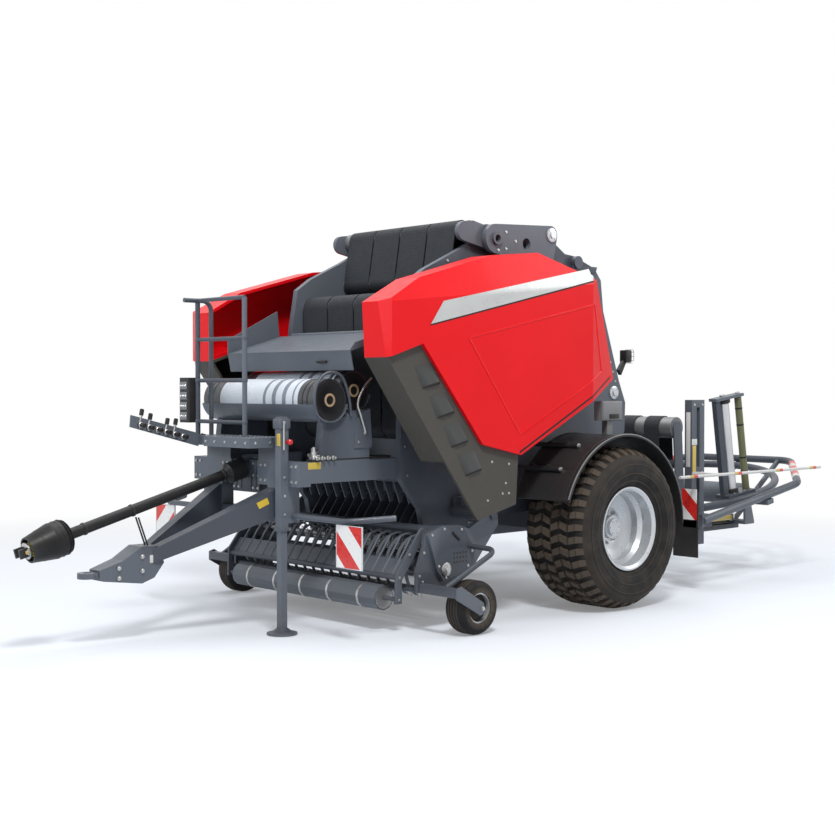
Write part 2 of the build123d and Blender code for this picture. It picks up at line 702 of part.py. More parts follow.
GAUGE_RIM_R = 100.0
for side, sign in SIDES:
    wheel_in = sign * (GAUGE_Y - GAUGE_W / 2)
    wheel_out = sign * (GAUGE_Y + GAUGE_W / 2)
    with BuildPart() as gauge_tyre:
        add(drum(GAUGE, GAUGE_R, *sorted((wheel_in, wheel_out))))
        add(drum(GAUGE, GAUGE_RIM_R, -1500, 1500), mode=Mode.SUBTRACT)
        fillet(gauge_tyre.edges().filter_by(GeomType.CIRCLE).group_by(SortBy.RADIUS)[-1], 38)
    gauge_tyre.part.label = f"gauge_tyre_{side}"
    export_step(gauge_tyre.part, f"parts/gauge_tyre_{side}.step")

    with BuildPart() as gauge_rim:
        rim_y = sorted((wheel_in + sign * 12, wheel_out - sign * 12))
        add(drum(GAUGE, GAUGE_RIM_R - FIT, *rim_y))
        add(drum(GAUGE, GAUGE_RIM_R - 10, *sorted((wheel_out - sign * 70, wheel_out))), mode=Mode.SUBTRACT)
        add(drum(GAUGE, 32, *sorted((wheel_out - sign * 70, wheel_out - sign * 20))))
        bore_y = sorted((wheel_in - sign * 5, wheel_out + sign * 5))
        add(drum(GAUGE, 15 + RUN, *bore_y), mode=Mode.SUBTRACT)
    gauge_rim.part.label = f"gauge_rim_{side}"
    export_step(gauge_rim.part, f"parts/gauge_rim_{side}.step")

# windguard frame with its press roller
GUARD_ARM_Y = (PICKUP_HALF - 70, PICKUP_HALF - 50)
GUARD_BAR = (1843.0, 362.0)
GUARD_BAR_R = 18.0
FINGER_TIP = (1672.0, 601.0)
FINGERS = 18
FINGER_R = 9.0
ROLLER_PIN_R = 15.0
ROLLER_HALF = GUARD_ARM_Y[0] - 130
guard_arm = [
    (1598, 668),
    (1648, 668),
    (1770, 520),
    (1868, 395),
    (1875, 190),
    (1822, 190),
    (1822, 345),
    (1725, 470),
]
finger_pitch = 2 * (GUARD_ARM_Y[0] - 60) / (FINGERS - 1)
with BuildPart() as wind_guard:
    for sign in (1, -1):
        y_low, y_high = sorted((sign * GUARD_ARM_Y[0], sign * GUARD_ARM_Y[1]))
        add(slab(guard_arm, y_low, y_high))
        add(drum(ROLLER, ROLLER_PIN_R, *sorted((sign * (ROLLER_HALF - 30), sign * GUARD_ARM_Y[1]))))
        add(drum(GUARD_HINGE, 34, y_low, y_high))
    add(drum(GUARD_BAR, GUARD_BAR_R, -GUARD_ARM_Y[1], GUARD_ARM_Y[1]))
    add(drum(GUARD_HINGE, GUARD_PIN_R + RUN, -1000, 1000), mode=Mode.SUBTRACT)
wind_guard.part.label = "wind_guard"
export_step(wind_guard.part, "parts/wind_guard.step")

# sheet and fingers that hold the crop down behind the bar
reach = Vector(*FINGER_TIP) - Vector(*GUARD_BAR)
half_sheet = Vector(reach.Y, -reach.X).normalized() * 3
sheet_end = Vector(*GUARD_BAR) + reach * 0.45
corners = [Vector(*GUARD_BAR) + half_sheet, Vector(*GUARD_BAR) - half_sheet]
corners += [sheet_end - half_sheet, sheet_end + half_sheet]
with BuildPart() as wind_fingers:
    add(slab([(c.X, c.Y) for c in corners], FIT - GUARD_ARM_Y[0], GUARD_ARM_Y[0] - FIT))
    for i in range(FINGERS):
        y = (i - (FINGERS - 1) / 2) * finger_pitch
        add(bar((GUARD_BAR[0], y, GUARD_BAR[1]), (FINGER_TIP[0], y, FINGER_TIP[1]), FINGER_R))
    add(drum(GUARD_BAR, GUARD_BAR_R + FIT, -GUARD_ARM_Y[1], GUARD_ARM_Y[1]), mode=Mode.SUBTRACT)
wind_fingers.part.label = "wind_fingers"
export_step(wind_fingers.part, "parts/wind_fingers.step")

with BuildPart() as press_roller:
    with BuildSketch(Plane.XZ.offset(-ROLLER_HALF)):
        with Locations((at(ROLLER[0]), ROLLER[1])):
            RegularPolygon(ROLLER_R, 12)
    extrude(amount=2 * ROLLER_HALF)
    for sign in (1, -1):
        bore_y = sorted((sign * (ROLLER_HALF - 35), sign * (ROLLER_HALF + 5)))
        add(drum(ROLLER, ROLLER_PIN_R + RUN, *bore_y), mode=Mode.SUBTRACT)
press_roller.part.label = "press_roller"
export_step(press_roller.part, "parts/press_roller.step")

# =============================================================================
# Side panels: shells cut to a side outline, a plan outline and a sloping section
# =============================================================================
panel_outline = [
    (2075, 1795),
    (1800, 1885),
    (1270, 1220),
    (910, 1140),
    (-145, 1665),
    (130, 2375),
    (660, 2545),
    (1110, 2500),
    (1800, 2310),
    (2095, 2150),
]
skirt_outline = [
    (2075, 1795),
    (1800, 1885),
    (1270, 1220),
    (910, 1140),
    (930, 800),
    (1290, 710),
]
panel_plan = [
    (-150, PANEL_IN),
    (-150, PANEL_OUT - 80),
    (180, PANEL_OUT),
    (2060, PANEL_OUT - 70),
    (2110, PANEL_OUT - 210),
    (2110, PANEL_IN),
]
CREASE_Z = 2382.0  # height of the crease at the axle
CREASE_FALL = 0.2133  # how much it drops for each millimetre forward
LEAN = 190 / 555  # how much the face leans in for each millimetre above the crease
CUT_BACK = 600.0  # the section is drawn this far behind the axle
SKIRT_SET = 30.0  # the skirt stands this far inside the panel's face


def panel_face(x, z):
    """Distance from the machine's middle to the panel's outer face above the crease."""
    return PANEL_OUT - LEAN * (z - CREASE_Z + CREASE_FALL * x)


def shell(outline, inset, sign, open_below):
    """Hollow panel open towards the chamber, and below as well where the pickup rises into it."""
    crease = CREASE_Z + CREASE_FALL * CUT_BACK
    face = PANEL_OUT - inset
    with BuildPart() as hollow:
        with BuildSketch(Plane.XZ):
            Polygon(*[(at(x), z) for x, z in outline], align=None)
        extrude(amount=-1500)
        with BuildSketch(Plane.XY):
            Polygon(*[(at(x), y - (inset if y > PANEL_IN else 0)) for x, y in panel_plan], align=None)
        extrude(amount=3000, mode=Mode.INTERSECT)
        with BuildSketch(Plane.YZ.offset(at(-CUT_BACK))):
            Polygon(
                (PANEL_IN, 0),
                (face, 0),
                (face, crease),
                (face - LEAN * 555, crease + 555),
                (PANEL_IN, crease + 555),
                align=None,
            )
        extrude(amount=3400, dir=(1, 0, -CREASE_FALL), mode=Mode.INTERSECT)
        open_faces = [hollow.faces().sort_by(Axis.Y)[0]]
        if open_below:
            open_faces.append(hollow.faces().sort_by(Axis.Z)[0])
        offset(amount=-PANEL_T, openings=open_faces)
        if sign < 0:
            mirror(about=Plane.XZ, mode=Mode.REPLACE)
    return hollow.part


for side, sign in SIDES:
    with BuildPart() as side_panel:
        add(shell(panel_outline, 0, sign, False))
        # ears that turn on the hinge pins
        for lug_x in HINGE_LUG_X:
            hinge_y, hinge_z = PANEL_HINGE
            ends = [
                (panel_face(lug_x + 40, hinge_z + dz) - PANEL_T / 2, hinge_z + dz) for dz in (30, -30)
            ]
            with BuildSketch(Plane.YZ.offset(at(lug_x + 30))):
                Polygon(
                    (sign * (hinge_y - 20), hinge_z),
                    (sign * (hinge_y - 15), hinge_z + 30),
                    *[(sign * y, z) for y, z in ends],
                    (sign * (hinge_y + 10), hinge_z - 20),
                    align=None,
                )
                with Locations((sign * hinge_y, hinge_z)):
                    Circle(22)
            extrude(amount=20)
            with BuildSketch(Plane.YZ.offset(at(lug_x + 20))):
                with Locations((sign * hinge_y, hinge_z)):
                    Circle(12 + RUN)
            extrude(amount=50, mode=Mode.SUBTRACT)
    side_panel.part.label = f"side_panel_{side}"
    export_step(side_panel.part, f"parts/side_panel_{side}.step")

    with BuildPart() as side_skirt:
        add(shell(skirt_outline, SKIRT_SET, sign, True))
        # only the outer sheet reaches down to the tip
        return_y = sorted((sign * (PANEL_IN - 10), sign * (PANEL_OUT - 100)))
        add(block((880, 1700), return_y, (0, 1110)), mode=Mode.SUBTRACT)
    side_skirt.part.label = f"side_skirt_{side}"
    export_step(side_skirt.part, f"parts/side_skirt_{side}.step")

# =============================================================================
# Fenders
# =============================================================================
FENDER_IN_R = TYRE_R + 80
FENDER_T = 10.0
FENDER_Y = (860.0, 1375.0)
with BuildPart() as fenders:
    for sign in (1, -1):
        y_low, y_high = sorted((sign * FENDER_Y[0], sign * FENDER_Y[1]))
        with BuildSketch(Plane.XZ.offset(-y_high)):
            with Locations((at(20), TYRE_R)):
                Circle(FENDER_IN_R + FENDER_T)
                Circle(FENDER_IN_R, mode=Mode.SUBTRACT)
                Polygon((0, 0), (900, 327), (900, -900), (-900, -900), (-900, 0), align=None, mode=Mode.SUBTRACT)
        extrude(amount=y_high - y_low)
        # two stays bolted to the chamber side
        for angle in (40, 61):
            spot = Vector(20, TYRE_R) + Vector(FENDER_IN_R + FENDER_T + 14, 0).rotate(Axis.Z, angle)
            add(drum((spot.X, spot.Y), 18, *sorted((sign * (CHAMBER_HALF + PLATE), sign * 1200))))
        # bracket from the low rail to the fender's rear end
        back = 20 - FENDER_IN_R - FENDER_T
        foot_z = (LOW_RAIL_Z[1] - 50, LOW_RAIL_Z[1])
        add(block((back - 35, back + 5), sorted((sign * RAIL_OUT, sign * 900)), foot_z))
        leg_y = sorted((sign * FENDER_Y[0], sign * 900))
        add(block((back - 35, back + 5), leg_y, (foot_z[0], TYRE_R + 40)))
fenders.part.label = "fenders"
export_step(fenders.part, "parts/fenders.step")

with BuildPart() as rear_box:
    add(block((-240, -10), (1040, 1120), (TYRE_R + 770, TYRE_R + 915)))
    fillet(rear_box.edges().filter_by(Axis.X), 10)
    add(block((-150, -90), (1050, 1100), (TYRE_R + FENDER_IN_R - 110, TYRE_R + 771)))
    add(drum((20, TYRE_R), FENDER_IN_R + FENDER_T + FIT, 850, 1400), mode=Mode.SUBTRACT)
rear_box.part.label = "rear_box"
export_step(rear_box.part, "parts/rear_box.step")

# =============================================================================
# Net wrap tray, rolls and lid
# =============================================================================
# rolls as (x, z, radius, half length)
NET_ROLLS = ((2160.0, 1520.0, 140.0, CHAMBER_HALF + 20), (1888.0, 1582.0, 132.0, CHAMBER_HALF - 60))
with BuildPart() as net_tray:
    for x, z, radius, half in NET_ROLLS:
        with BuildSketch(Plane.XZ.offset(-half - 15)):
            with Locations((at(x), z)):
                Circle(radius + FIT + 6)
                Circle(radius + FIT, mode=Mode.SUBTRACT)
                Polygon((0, 0), (300, -60), (300, 300), (-300, 300), (-300, -60), align=None, mode=Mode.SUBTRACT)
        extrude(amount=2 * (half + 15))
    for sign in (1, -1):
        foot = [(1800, 1119), (2230, 1119), (2200, 1376), (2080, 1380), (1960, 1440), (1800, 1462)]
        add(slab(foot, *sorted((sign * (LONG_BEAM_Y[0] + 20), sign * LONG_BEAM_Y[1]))))
    for x, z, radius, half in NET_ROLLS:
        add(drum((x, z), radius + FIT, -700, 700), mode=Mode.SUBTRACT)
    add(block((1750, 2300), (-700, 700), (1000, LONG_BEAM_Z[1])), mode=Mode.SUBTRACT)
net_tray.part.label = "net_tray"
export_step(net_tray.part, "parts/net_tray.step")

CORE_R = 38.0
with BuildPart() as net_rolls:
    for x, z, radius, half in NET_ROLLS:
        add(drum((x, z), radius, -half, half))
        add(drum((x, z), CORE_R, -half - 10, half + 10), mode=Mode.SUBTRACT)
net_rolls.part.label = "net_rolls"
export_step(net_rolls.part, "parts/net_rolls.step")

LID_HINGE = (1520.0, 1990.0)
LID_HALF = CHAMBER_HALF + 90
LID_ROOT_HALF = CHAMBER_HALF - 20
lid_root = [(1520, 1990), (1520, 1998), (1600, 1975), (1600, 1967)]
lid_sheet = [(1575, 1974.3), (1575, 1982.3), (2045, 1848), (2018, 1717), (2010, 1716), (2038, 1842)]
lid_left = [(1580, 1973), (1600, 2020), (2000, 1900), (2045, 1848), (2038, 1842)]
lid_right = [(1580, 1973), (1600, 2170), (2046, 1947), (2045, 1848), (2038, 1842)]
with BuildPart() as net_lid:
    add(slab(lid_root, -LID_ROOT_HALF, LID_ROOT_HALF))
    add(slab(lid_sheet, -LID_HALF, LID_HALF))
    add(slab(lid_left, LID_HALF - 8, LID_HALF))
    add(slab(lid_right, -LID_HALF, -LID_HALF + 8))
    add(drum(LID_HINGE, 14, -CHAMBER_HALF + FIT, CHAMBER_HALF - FIT))
net_lid.part.label = "net_lid"
export_step(net_lid.part, "parts/net_lid.step")

# =============================================================================
# Platform, handrail, hose rack, control box, valves
# =============================================================================
DECK_X = (2300.0, 2530.0, 2620.0)
DECK_Y = (-440.0, -150.0, 364.0)
DECK_Z = (1210.0, 1275.0)
with BuildPart() as platform:
    add(block((DECK_X[0], DECK_X[2]), DECK_Y[1:], DECK_Z))
    add(block(DECK_X[:2], DECK_Y[:2], DECK_Z))
    # pressed sheet: 8 mm walls below a 6 mm top
    under = (DECK_Z[0], DECK_Z[1] - 6)
    add(block((DECK_X[0] + 8, DECK_X[2] - 8), (DECK_Y[1] + 8, DECK_Y[2] - 8), under), mode=Mode.SUBTRACT)
    add(block((DECK_X[0] + 8, DECK_X[1] - 8), (DECK_Y[0] + 8, DECK_Y[1] + 8), under), mode=Mode.SUBTRACT)
    # feet on the portal
    for foot_y in ((DECK_Y[0], -160), (160, DECK_Y[2])):
        add(block((DECK_X[0], PORTAL_X[1]), foot_y, (LONG_BEAM_Z[1], DECK_Z[1])))
platform.part.label = "platform"
export_step(platform.part, "parts/platform.step")

RAIL_TUBE_R = 17.0
RAIL_X = 2490.0
RAIL_Y = (-410.0, 140.0)
RAIL_LEVELS = (1370.0, 1650.0, 1930.0, 2200.0)
with BuildPart() as handrail:
    add(bar((RAIL_X, RAIL_Y[0], DECK_Z[1]), (RAIL_X, RAIL_Y[0], RAIL_LEVELS[3]), RAIL_TUBE_R))
    add(bar((RAIL_X, RAIL_Y[1], DECK_Z[1]), (RAIL_X, RAIL_Y[1], RAIL_LEVELS[3]), RAIL_TUBE_R))
    for level in RAIL_LEVELS:
        add(bar((RAIL_X, RAIL_Y[0], level), (RAIL_X, RAIL_Y[1], level), RAIL_TUBE_R - 3))
    add(
        bent_tube(
            [
                (RAIL_X + 110, RAIL_Y[0], RAIL_LEVELS[3]),
                (2380, RAIL_Y[0], RAIL_LEVELS[3]),
                (2380, RAIL_Y[0], DECK_Z[1]),
            ],
            70,
            RAIL_TUBE_R - 1,
        )
    )
handrail.part.label = "handrail"
export_step(handrail.part, "parts/handrail.step")

RACK_Y = -350.0
rack_x = DECK_X[1] + FIT
with BuildPart() as hose_rack:
    with BuildSketch(Plane.XZ.offset(-RACK_Y - 6)):
        Polygon(
            (at(rack_x), 1200),
            (at(rack_x), 1290),
            (at(3057), 1421),
            (at(3065), 1342),
            align=None,
        )
        for i in range(6):
            with Locations((at(2660 + 66 * i), 1268 + 17 * i)):
                Circle(22, mode=Mode.SUBTRACT)
    extrude(amount=12)
hose_rack.part.label = "hose_rack"
export_step(hose_rack.part, "parts/hose_rack.step")

with BuildPart() as control_box:
    add(block((2465, 2555), (-545, RAIL_Y[0] - RAIL_TUBE_R - FIT), (1360, 1670)))
    fillet(control_box.edges().filter_by(Axis.Z), 12)
control_box.part.label = "control_box"
export_step(control_box.part, "parts/control_box.step")

with BuildPart() as valve_block:
    add(block((1900, 2030), (LONG_BEAM_Y[0] - 260, LONG_BEAM_Y[0] - 20), (1095, 1190)))
    for i in range(4):
        spool_y = LONG_BEAM_Y[0] - 250 + 58 * i
        add(drum((1965, 1190), 24, spool_y, spool_y + 40))
valve_block.part.label = "valve_block"
export_step(valve_block.part, "parts/valve_block.step")

# =============================================================================
# Warning boards
# =============================================================================
BOARD_TUBE_R = 19.0
BOARD_TUBE_Z = 765.0
with BuildPart() as board_arms:
    for sign in (1, -1):
        add(
            bent_tube(
                [
                    (2350, sign * 480, BOARD_TUBE_Z),
                    (2350, sign * 1010, BOARD_TUBE_Z),
                    (2090, sign * 1190, BOARD_TUBE_Z + 20),
                ],
                90,
                BOARD_TUBE_R,
            )
        )
board_arms.part.label = "board_arms"
export_step(board_arms.part, "parts/board_arms.step")

BOARD_SIZE = (250.0, 272.0)
BOARD_IN = 920.0
with BuildPart() as front_boards:
    for sign in (1, -1):
        y = sorted((sign * BOARD_IN, sign * (BOARD_IN + BOARD_SIZE[0])))
        top = BOARD_TUBE_Z - BOARD_TUBE_R - FIT
        add(block((2347, 2353), y, (top - BOARD_SIZE[1], top)))
front_boards.part.label = "front_boards"
export_step(front_boards.part, "parts/front_boards.step")

# =============================================================================
# Wrapper: carrying frame and guard hoop
# =============================================================================
COLUMN_X = ((-1450.0, -1385.0), (-1345.0, -1280.0))
COLUMN_Y = (930.0, 1000.0)
COLUMN_TOP = BED_Z + 1170
TABLE_HALF = 600.0
CRADLE_HALF = 610.0
ring_plane = Plane(
    origin=(at(RING_X), 0, RING_Z),
    x_dir=Vector(1, 0, 0).rotate(Axis.Y, RING_TILT),
    z_dir=Vector(0, 0, 1).rotate(Axis.Y, RING_TILT),
)
with BuildPart() as wrapper_frame:
    add(block((-1450, -1280), (-COLUMN_Y[1], COLUMN_Y[1]), LOW_RAIL_Z))
    add(block((-2750, -2690), (-460, 460), (BED_Z, BED_Z + 80)))
    for sign in (1, -1):
        rail_y = sorted((sign * RAIL_IN, sign * RAIL_OUT))
        column_y = sorted((sign * COLUMN_Y[0], sign * COLUMN_Y[1]))
        add(block((-1450, 60), rail_y, LOW_RAIL_Z))
        for column_x in COLUMN_X:
            add(block(column_x, column_y, (LOW_RAIL_Z[1], COLUMN_TOP)))
        add(block((-1450, -1280), column_y, (COLUMN_TOP - 60, COLUMN_TOP)))
        add(block((-1390, -1340), column_y, (BED_Z + 570, BED_Z + 630)))
        hoop_y = sorted((sign * COLUMN_Y[1], sign * (HOOP_HALF + 10)))
        add(block((-1345, -1215), hoop_y, (BED_Z + 160, BED_Z + 260)))
        # bed that carries the table and the rear of the hoop
        add(block((-2750, -1450), sorted((sign * 400, sign * 460)), (BED_Z, BED_Z + 80)))
        add(bar((-2720, sign * 430, BED_Z + 70), (-3430, sign * 430, BED_Z + 570), 24))
        # table hinge bracket and its pin
        add(
            slab(
                [(-1760, BED_Z + 80), (-1620, BED_Z + 80), (-1650, BED_Z + 350), (-1710, BED_Z + 350)],
                *sorted((sign * (TABLE_HALF + 15), sign * (TABLE_HALF + 40))),
            )
        )
        add(block((-1760, -1620), sorted((sign * 455, sign * (TABLE_HALF + 40))), (BED_Z + 50, BED_Z + 80)))
        add(drum(TABLE_PIVOT, 18, *sorted((sign * (TABLE_HALF - 15), sign * (TABLE_HALF + 20)))))
        # rear bale roller's bracket
        add(
            slab(
                [(-2740, BED_Z + 70), (-2600, BED_Z + 70), (-2590, BED_Z + 360), (-2650, BED_Z + 360)],
                *sorted((sign * CRADLE_HALF, sign * (CRADLE_HALF + 20))),
            )
        )
        add(block((-2740, -2600), sorted((sign * 455, sign * (CRADLE_HALF + 20))), (BED_Z + 50, BED_Z + 80)))
    # guard hoop in the ring's plane
    with BuildLine(ring_plane) as hoop_line:
        FilletPolyline(
            (930, HOOP_HALF, 0),
            (-480, HOOP_HALF, 0),
            (-HOOP_REAR, 560, 0),
            (-HOOP_REAR, -560, 0),
            (-480, -HOOP_HALF, 0),
            (930, -HOOP_HALF, 0),
            radius=260,
        )
    with BuildSketch(Plane(origin=hoop_line.line @ 0, z_dir=hoop_line.line % 0)):
        Circle(RING_TUBE_R)
    sweep()
    # brackets with the runners that hold the ring from below
    for x, y, dx, dy in ((0, 1090, 90, 160), (0, -1090, 90, 160), (-1170, 0, 300, 90)):
        with BuildSketch(ring_plane.offset(-75)):
            with Locations((x, y)):
                Rectangle(dx, dy)
        extrude(amount=75 - RING_TUBE_R - FIT)
    for x, y in ((0, HOOP_HALF), (0, -HOOP_HALF), (-HOOP_REAR, 0)):
        with BuildSketch(ring_plane.offset(-60)):
            with Locations((x, y)):
                Rectangle(24, 24)
        extrude(amount=50)
wrapper_frame.part.label = "wrapper_frame"
export_step(wrapper_frame.part, "parts/wrapper_frame.step")

with BuildPart() as bale_roller:
    add(drum((-2620, BED_Z + 320), 95, -CRADLE_HALF + FIT, CRADLE_HALF - FIT))
bale_roller.part.label = "bale_roller"
export_step(bale_roller.part, "parts/bale_roller.step")

with BuildPart() as guard_bars:
    for sign in (1, -1):
        add(bar((-780, sign * 1250, BED_Z + 580), (-2800, sign * 1250, BED_Z + 580), 12))
        add(block((-1340, -1285), sorted((sign * COLUMN_Y[1], sign * 1245)), (BED_Z + 570, BED_Z + 590)))
guard_bars.part.label = "guard_bars"
export_step(guard_bars.part, "parts/guard_bars.step")

with BuildPart() as rear_boards:
    for sign in (1, -1):
        add(block((-1036, -1030), sorted((sign * 1085, sign * 1225)), (BED_Z + 235, BED_Z + 475)))
rear_boards.part.label = "rear_boards"
export_step(rear_boards.part, "parts/rear_boards.step")

with BuildPart() as mud_flaps:
    for sign in (1, -1):
        add(block((-1044, -1036), sorted((sign * 1000, sign * 1235)), (BED_Z - 60, BED_Z + 390)))
        add(block((-1280, -1044), sorted((sign * 945, sign * 1040)), (BED_Z + 70, BED_Z + 110)))
mud_flaps.part.label = "mud_flaps"
export_step(mud_flaps.part, "parts/mud_flaps.step")

# =============================================================================
# Wrapping ring with its two film dispensers
# =============================================================================
FOOT_TOP = RING_TUBE_R + 23  # top of a dispenser's foot above the ring's plane
HEAD_Z = 850.0  # underside of a dispenser's head
DISPENSER_TURN = -10.0  # how far the dispensers stand round the ring from straight across
ring_axis = Axis(ring_plane.origin, ring_plane.z_dir)
dispenser_plane = Plane(
    origin=ring_plane.origin,
    x_dir=ring_plane.x_dir.rotate(ring_axis, DISPENSER_TURN),
    z_dir=ring_plane.z_dir,
)
with BuildPart(dispenser_plane) as wrap_ring:
    Torus(RING_R, RING_TUBE_R)
    for sign in (1, -1):
        with Locations((0, sign * 960, FOOT_TOP - 15)):
            Box(320, 150, 30)
        with Locations((sign * 130, sign * 960, (FOOT_TOP + HEAD_Z) / 2)):
            Box(50, 50, HEAD_Z - FOOT_TOP + 10)
        with Locations((0, sign * 955, HEAD_Z + 12)):
            Box(320, 90, 24)
wrap_ring.part.label = "wrap_ring"
export_step(wrap_ring.part, "parts/wrap_ring.step")

FILM_Z = (FOOT_TOP + FIT, HEAD_Z - FIT)
with BuildPart(dispenser_plane) as film_rollers:
    for sign in (1, -1):
        with Locations((sign * 25, sign * 935, (FILM_Z[0] + FILM_Z[1]) / 2)):
            Cylinder(46, FILM_Z[1] - FILM_Z[0])
film_rollers.part.label = "film_rollers"
export_step(film_rollers.part, "parts/film_rollers.step")

with BuildPart(dispenser_plane) as stretch_rollers:
    for sign in (1, -1):
        with Locations((sign * -130, sign * 955, (FILM_Z[0] + FILM_Z[1]) / 2)):
            Cylinder(30, FILM_Z[1] - FILM_Z[0])
stretch_rollers.part.label = "stretch_rollers"
export_step(stretch_rollers.part, "parts/stretch_rollers.step")

# =============================================================================
# Wrapping table
# =============================================================================
TABLE_PLATE = (TABLE_HALF - 15, TABLE_HALF)
with BuildPart() as table_frame:
    for sign in (1, -1):
        y_low, y_high = sorted((sign * TABLE_PLATE[0], sign * TABLE_PLATE[1]))
        with BuildSketch(Plane.XZ.offset(-y_high)):
            with Locations((at(TABLE_PIVOT[0]), TABLE_PIVOT[1])):
                Circle(55)
            with Locations((at(TABLE_TIP[0]), TABLE_TIP[1])):
                Circle(55)
            make_hull()
            with Locations((at(TABLE_PIVOT[0]), TABLE_PIVOT[1])):
                Circle(18 + RUN, mode=Mode.SUBTRACT)
        extrude(amount=y_high - y_low)
    add(drum((-1660, BED_Z + 620), 35, -TABLE_PLATE[0], TABLE_PLATE[0]))
table_frame.part.label = "table_frame"
export_step(table_frame.part, "parts/table_frame.step")

with BuildPart() as table_rollers:
    for x, z in (TABLE_PIVOT, TABLE_TIP):
        add(drum((x, z), TABLE_ROLLER_R, -TABLE_PLATE[0], TABLE_PLATE[0]))
table_rollers.part.label = "table_rollers"
export_step(table_rollers.part, "parts/table_rollers.step")

TABLE_BELTS = (-390.0, -130.0, 130.0, 390.0)
TABLE_BELT_W = 150.0
table_loop = [(x, z, TABLE_ROLLER_R) for x, z in (TABLE_PIVOT, TABLE_TIP)]
with BuildPart() as table_belts:
    for middle in TABLE_BELTS:
        loop_face = belt_loop(table_loop).moved(Location((0, middle + TABLE_BELT_W / 2, 0)))
        extrude(loop_face, amount=TABLE_BELT_W)
table_belts.part.label = "table_belts"
export_step(table_belts.part, "parts/table_belts.step")
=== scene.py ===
"""Looks for the round baler with its in-line bale wrapper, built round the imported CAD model."""

import json
import math

import bmesh
import bpy
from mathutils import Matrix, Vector
from mathutils.bvhtree import BVHTree


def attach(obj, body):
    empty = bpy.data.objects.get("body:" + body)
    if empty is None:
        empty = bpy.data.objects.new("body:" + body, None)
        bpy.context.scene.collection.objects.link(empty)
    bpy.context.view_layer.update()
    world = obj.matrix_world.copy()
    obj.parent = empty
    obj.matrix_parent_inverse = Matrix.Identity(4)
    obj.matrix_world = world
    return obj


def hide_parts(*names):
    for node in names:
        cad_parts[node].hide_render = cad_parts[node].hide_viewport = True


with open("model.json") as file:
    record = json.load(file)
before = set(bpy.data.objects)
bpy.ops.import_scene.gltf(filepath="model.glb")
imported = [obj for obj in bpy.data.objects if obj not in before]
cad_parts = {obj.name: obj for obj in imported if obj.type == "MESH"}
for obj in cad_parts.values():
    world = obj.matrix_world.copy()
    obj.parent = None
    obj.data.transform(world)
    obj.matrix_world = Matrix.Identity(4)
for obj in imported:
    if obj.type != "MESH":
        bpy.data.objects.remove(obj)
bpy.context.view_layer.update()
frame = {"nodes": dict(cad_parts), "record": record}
NODES = frame["nodes"]
SIDES = (("left", 1), ("right", -1))
AXLE = -0.28  # station of the main axle; places below are measured from it

# ---- Camera, light and stage ----
CAMERA_PLACE = (7.50, 7.51, 1.613)
CAMERA_YAW = math.radians(47.1)
CAMERA_PITCH = math.radians(1.33)
CAMERA_LENS = 58.7


def look(direction):
    """Rotation that points a camera or lamp's -Z along a direction."""
    return Vector(direction).to_track_quat("-Z", "Y").to_euler()


camera_data = bpy.data.cameras.new("camera")
camera_data.lens = CAMERA_LENS
camera_data.sensor_width = 36
camera = bpy.data.objects.new("camera", camera_data)
camera.location = CAMERA_PLACE
camera.rotation_euler = look(
    (
        -math.cos(CAMERA_PITCH) * math.cos(CAMERA_YAW),
        -math.cos(CAMERA_PITCH) * math.sin(CAMERA_YAW),
        -math.sin(CAMERA_PITCH),
    )
)
bpy.context.scene.collection.objects.link(camera)
bpy.context.scene.camera = camera
bpy.context.scene.view_settings.view_transform = "Standard"

# name, place, aim, size, power, colour
LAMPS = (
    ("key", (5.0, 6.0, 10.0), (0.3, 0.3, 0.9), 2.0, 860, (1.0, 0.985, 0.96)),
    ("front_fill", (10.0, -2.5, 4.5), (0.5, 0.0, 1.0), 5.0, 260, (0.93, 0.96, 1.0)),
    ("rear_fill", (-8.0, 6.0, 6.0), (-1.0, 0.0, 1.0), 5.0, 260, (0.95, 0.97, 1.0)),
    ("top", (-0.5, -1.5, 9.0), (-0.2, 0.0, 0.0), 7.0, 480, (1.0, 1.0, 1.0)),
)
for name, place, aim, size, power, colour in LAMPS:
    lamp_data = bpy.data.lights.new(name, "AREA")
    lamp_data.size = size
    lamp_data.energy = power
    lamp_data.color = colour
    lamp = bpy.data.objects.new(name, lamp_data)
    lamp.location = place
    lamp.rotation_euler = look(Vector(aim) - Vector(place))
    bpy.context.scene.collection.objects.link(lamp)


def math_node(nodes, links, operation, first, second=0.0):
    """One arithmetic step on sockets or numbers."""
    node = nodes.new("ShaderNodeMath")
    node.operation = operation
    for index, value in enumerate((first, second)):
        if isinstance(value, (int, float)):
            node.inputs[index].default_value = value
        else:
            links.new(value, node.inputs[index])
    return node.outputs[0]


def range_node(nodes, links, value, low, high, start=0.0, end=1.0):
    """Remaps a value from start to end onto low to high, and holds it there."""
    node = nodes.new("ShaderNodeMapRange")
    for name, setting in (("From Min", start), ("From Max", end), ("To Min", low), ("To Max", high)):
        node.inputs[name].default_value = setting
    links.new(value, node.inputs["Value"])
    return node.outputs["Result"]


def seen_rays(nodes, links):
    """Value that is 1 for rays that show a background: camera, mirror and glass rays."""
    rays = nodes.new("ShaderNodeLightPath").outputs
    seen = math_node(nodes, links, "MAXIMUM", rays["Is Camera Ray"], rays["Is Glossy Ray"])
    return math_node(nodes, links, "MAXIMUM", seen, rays["Is Transmission Ray"])


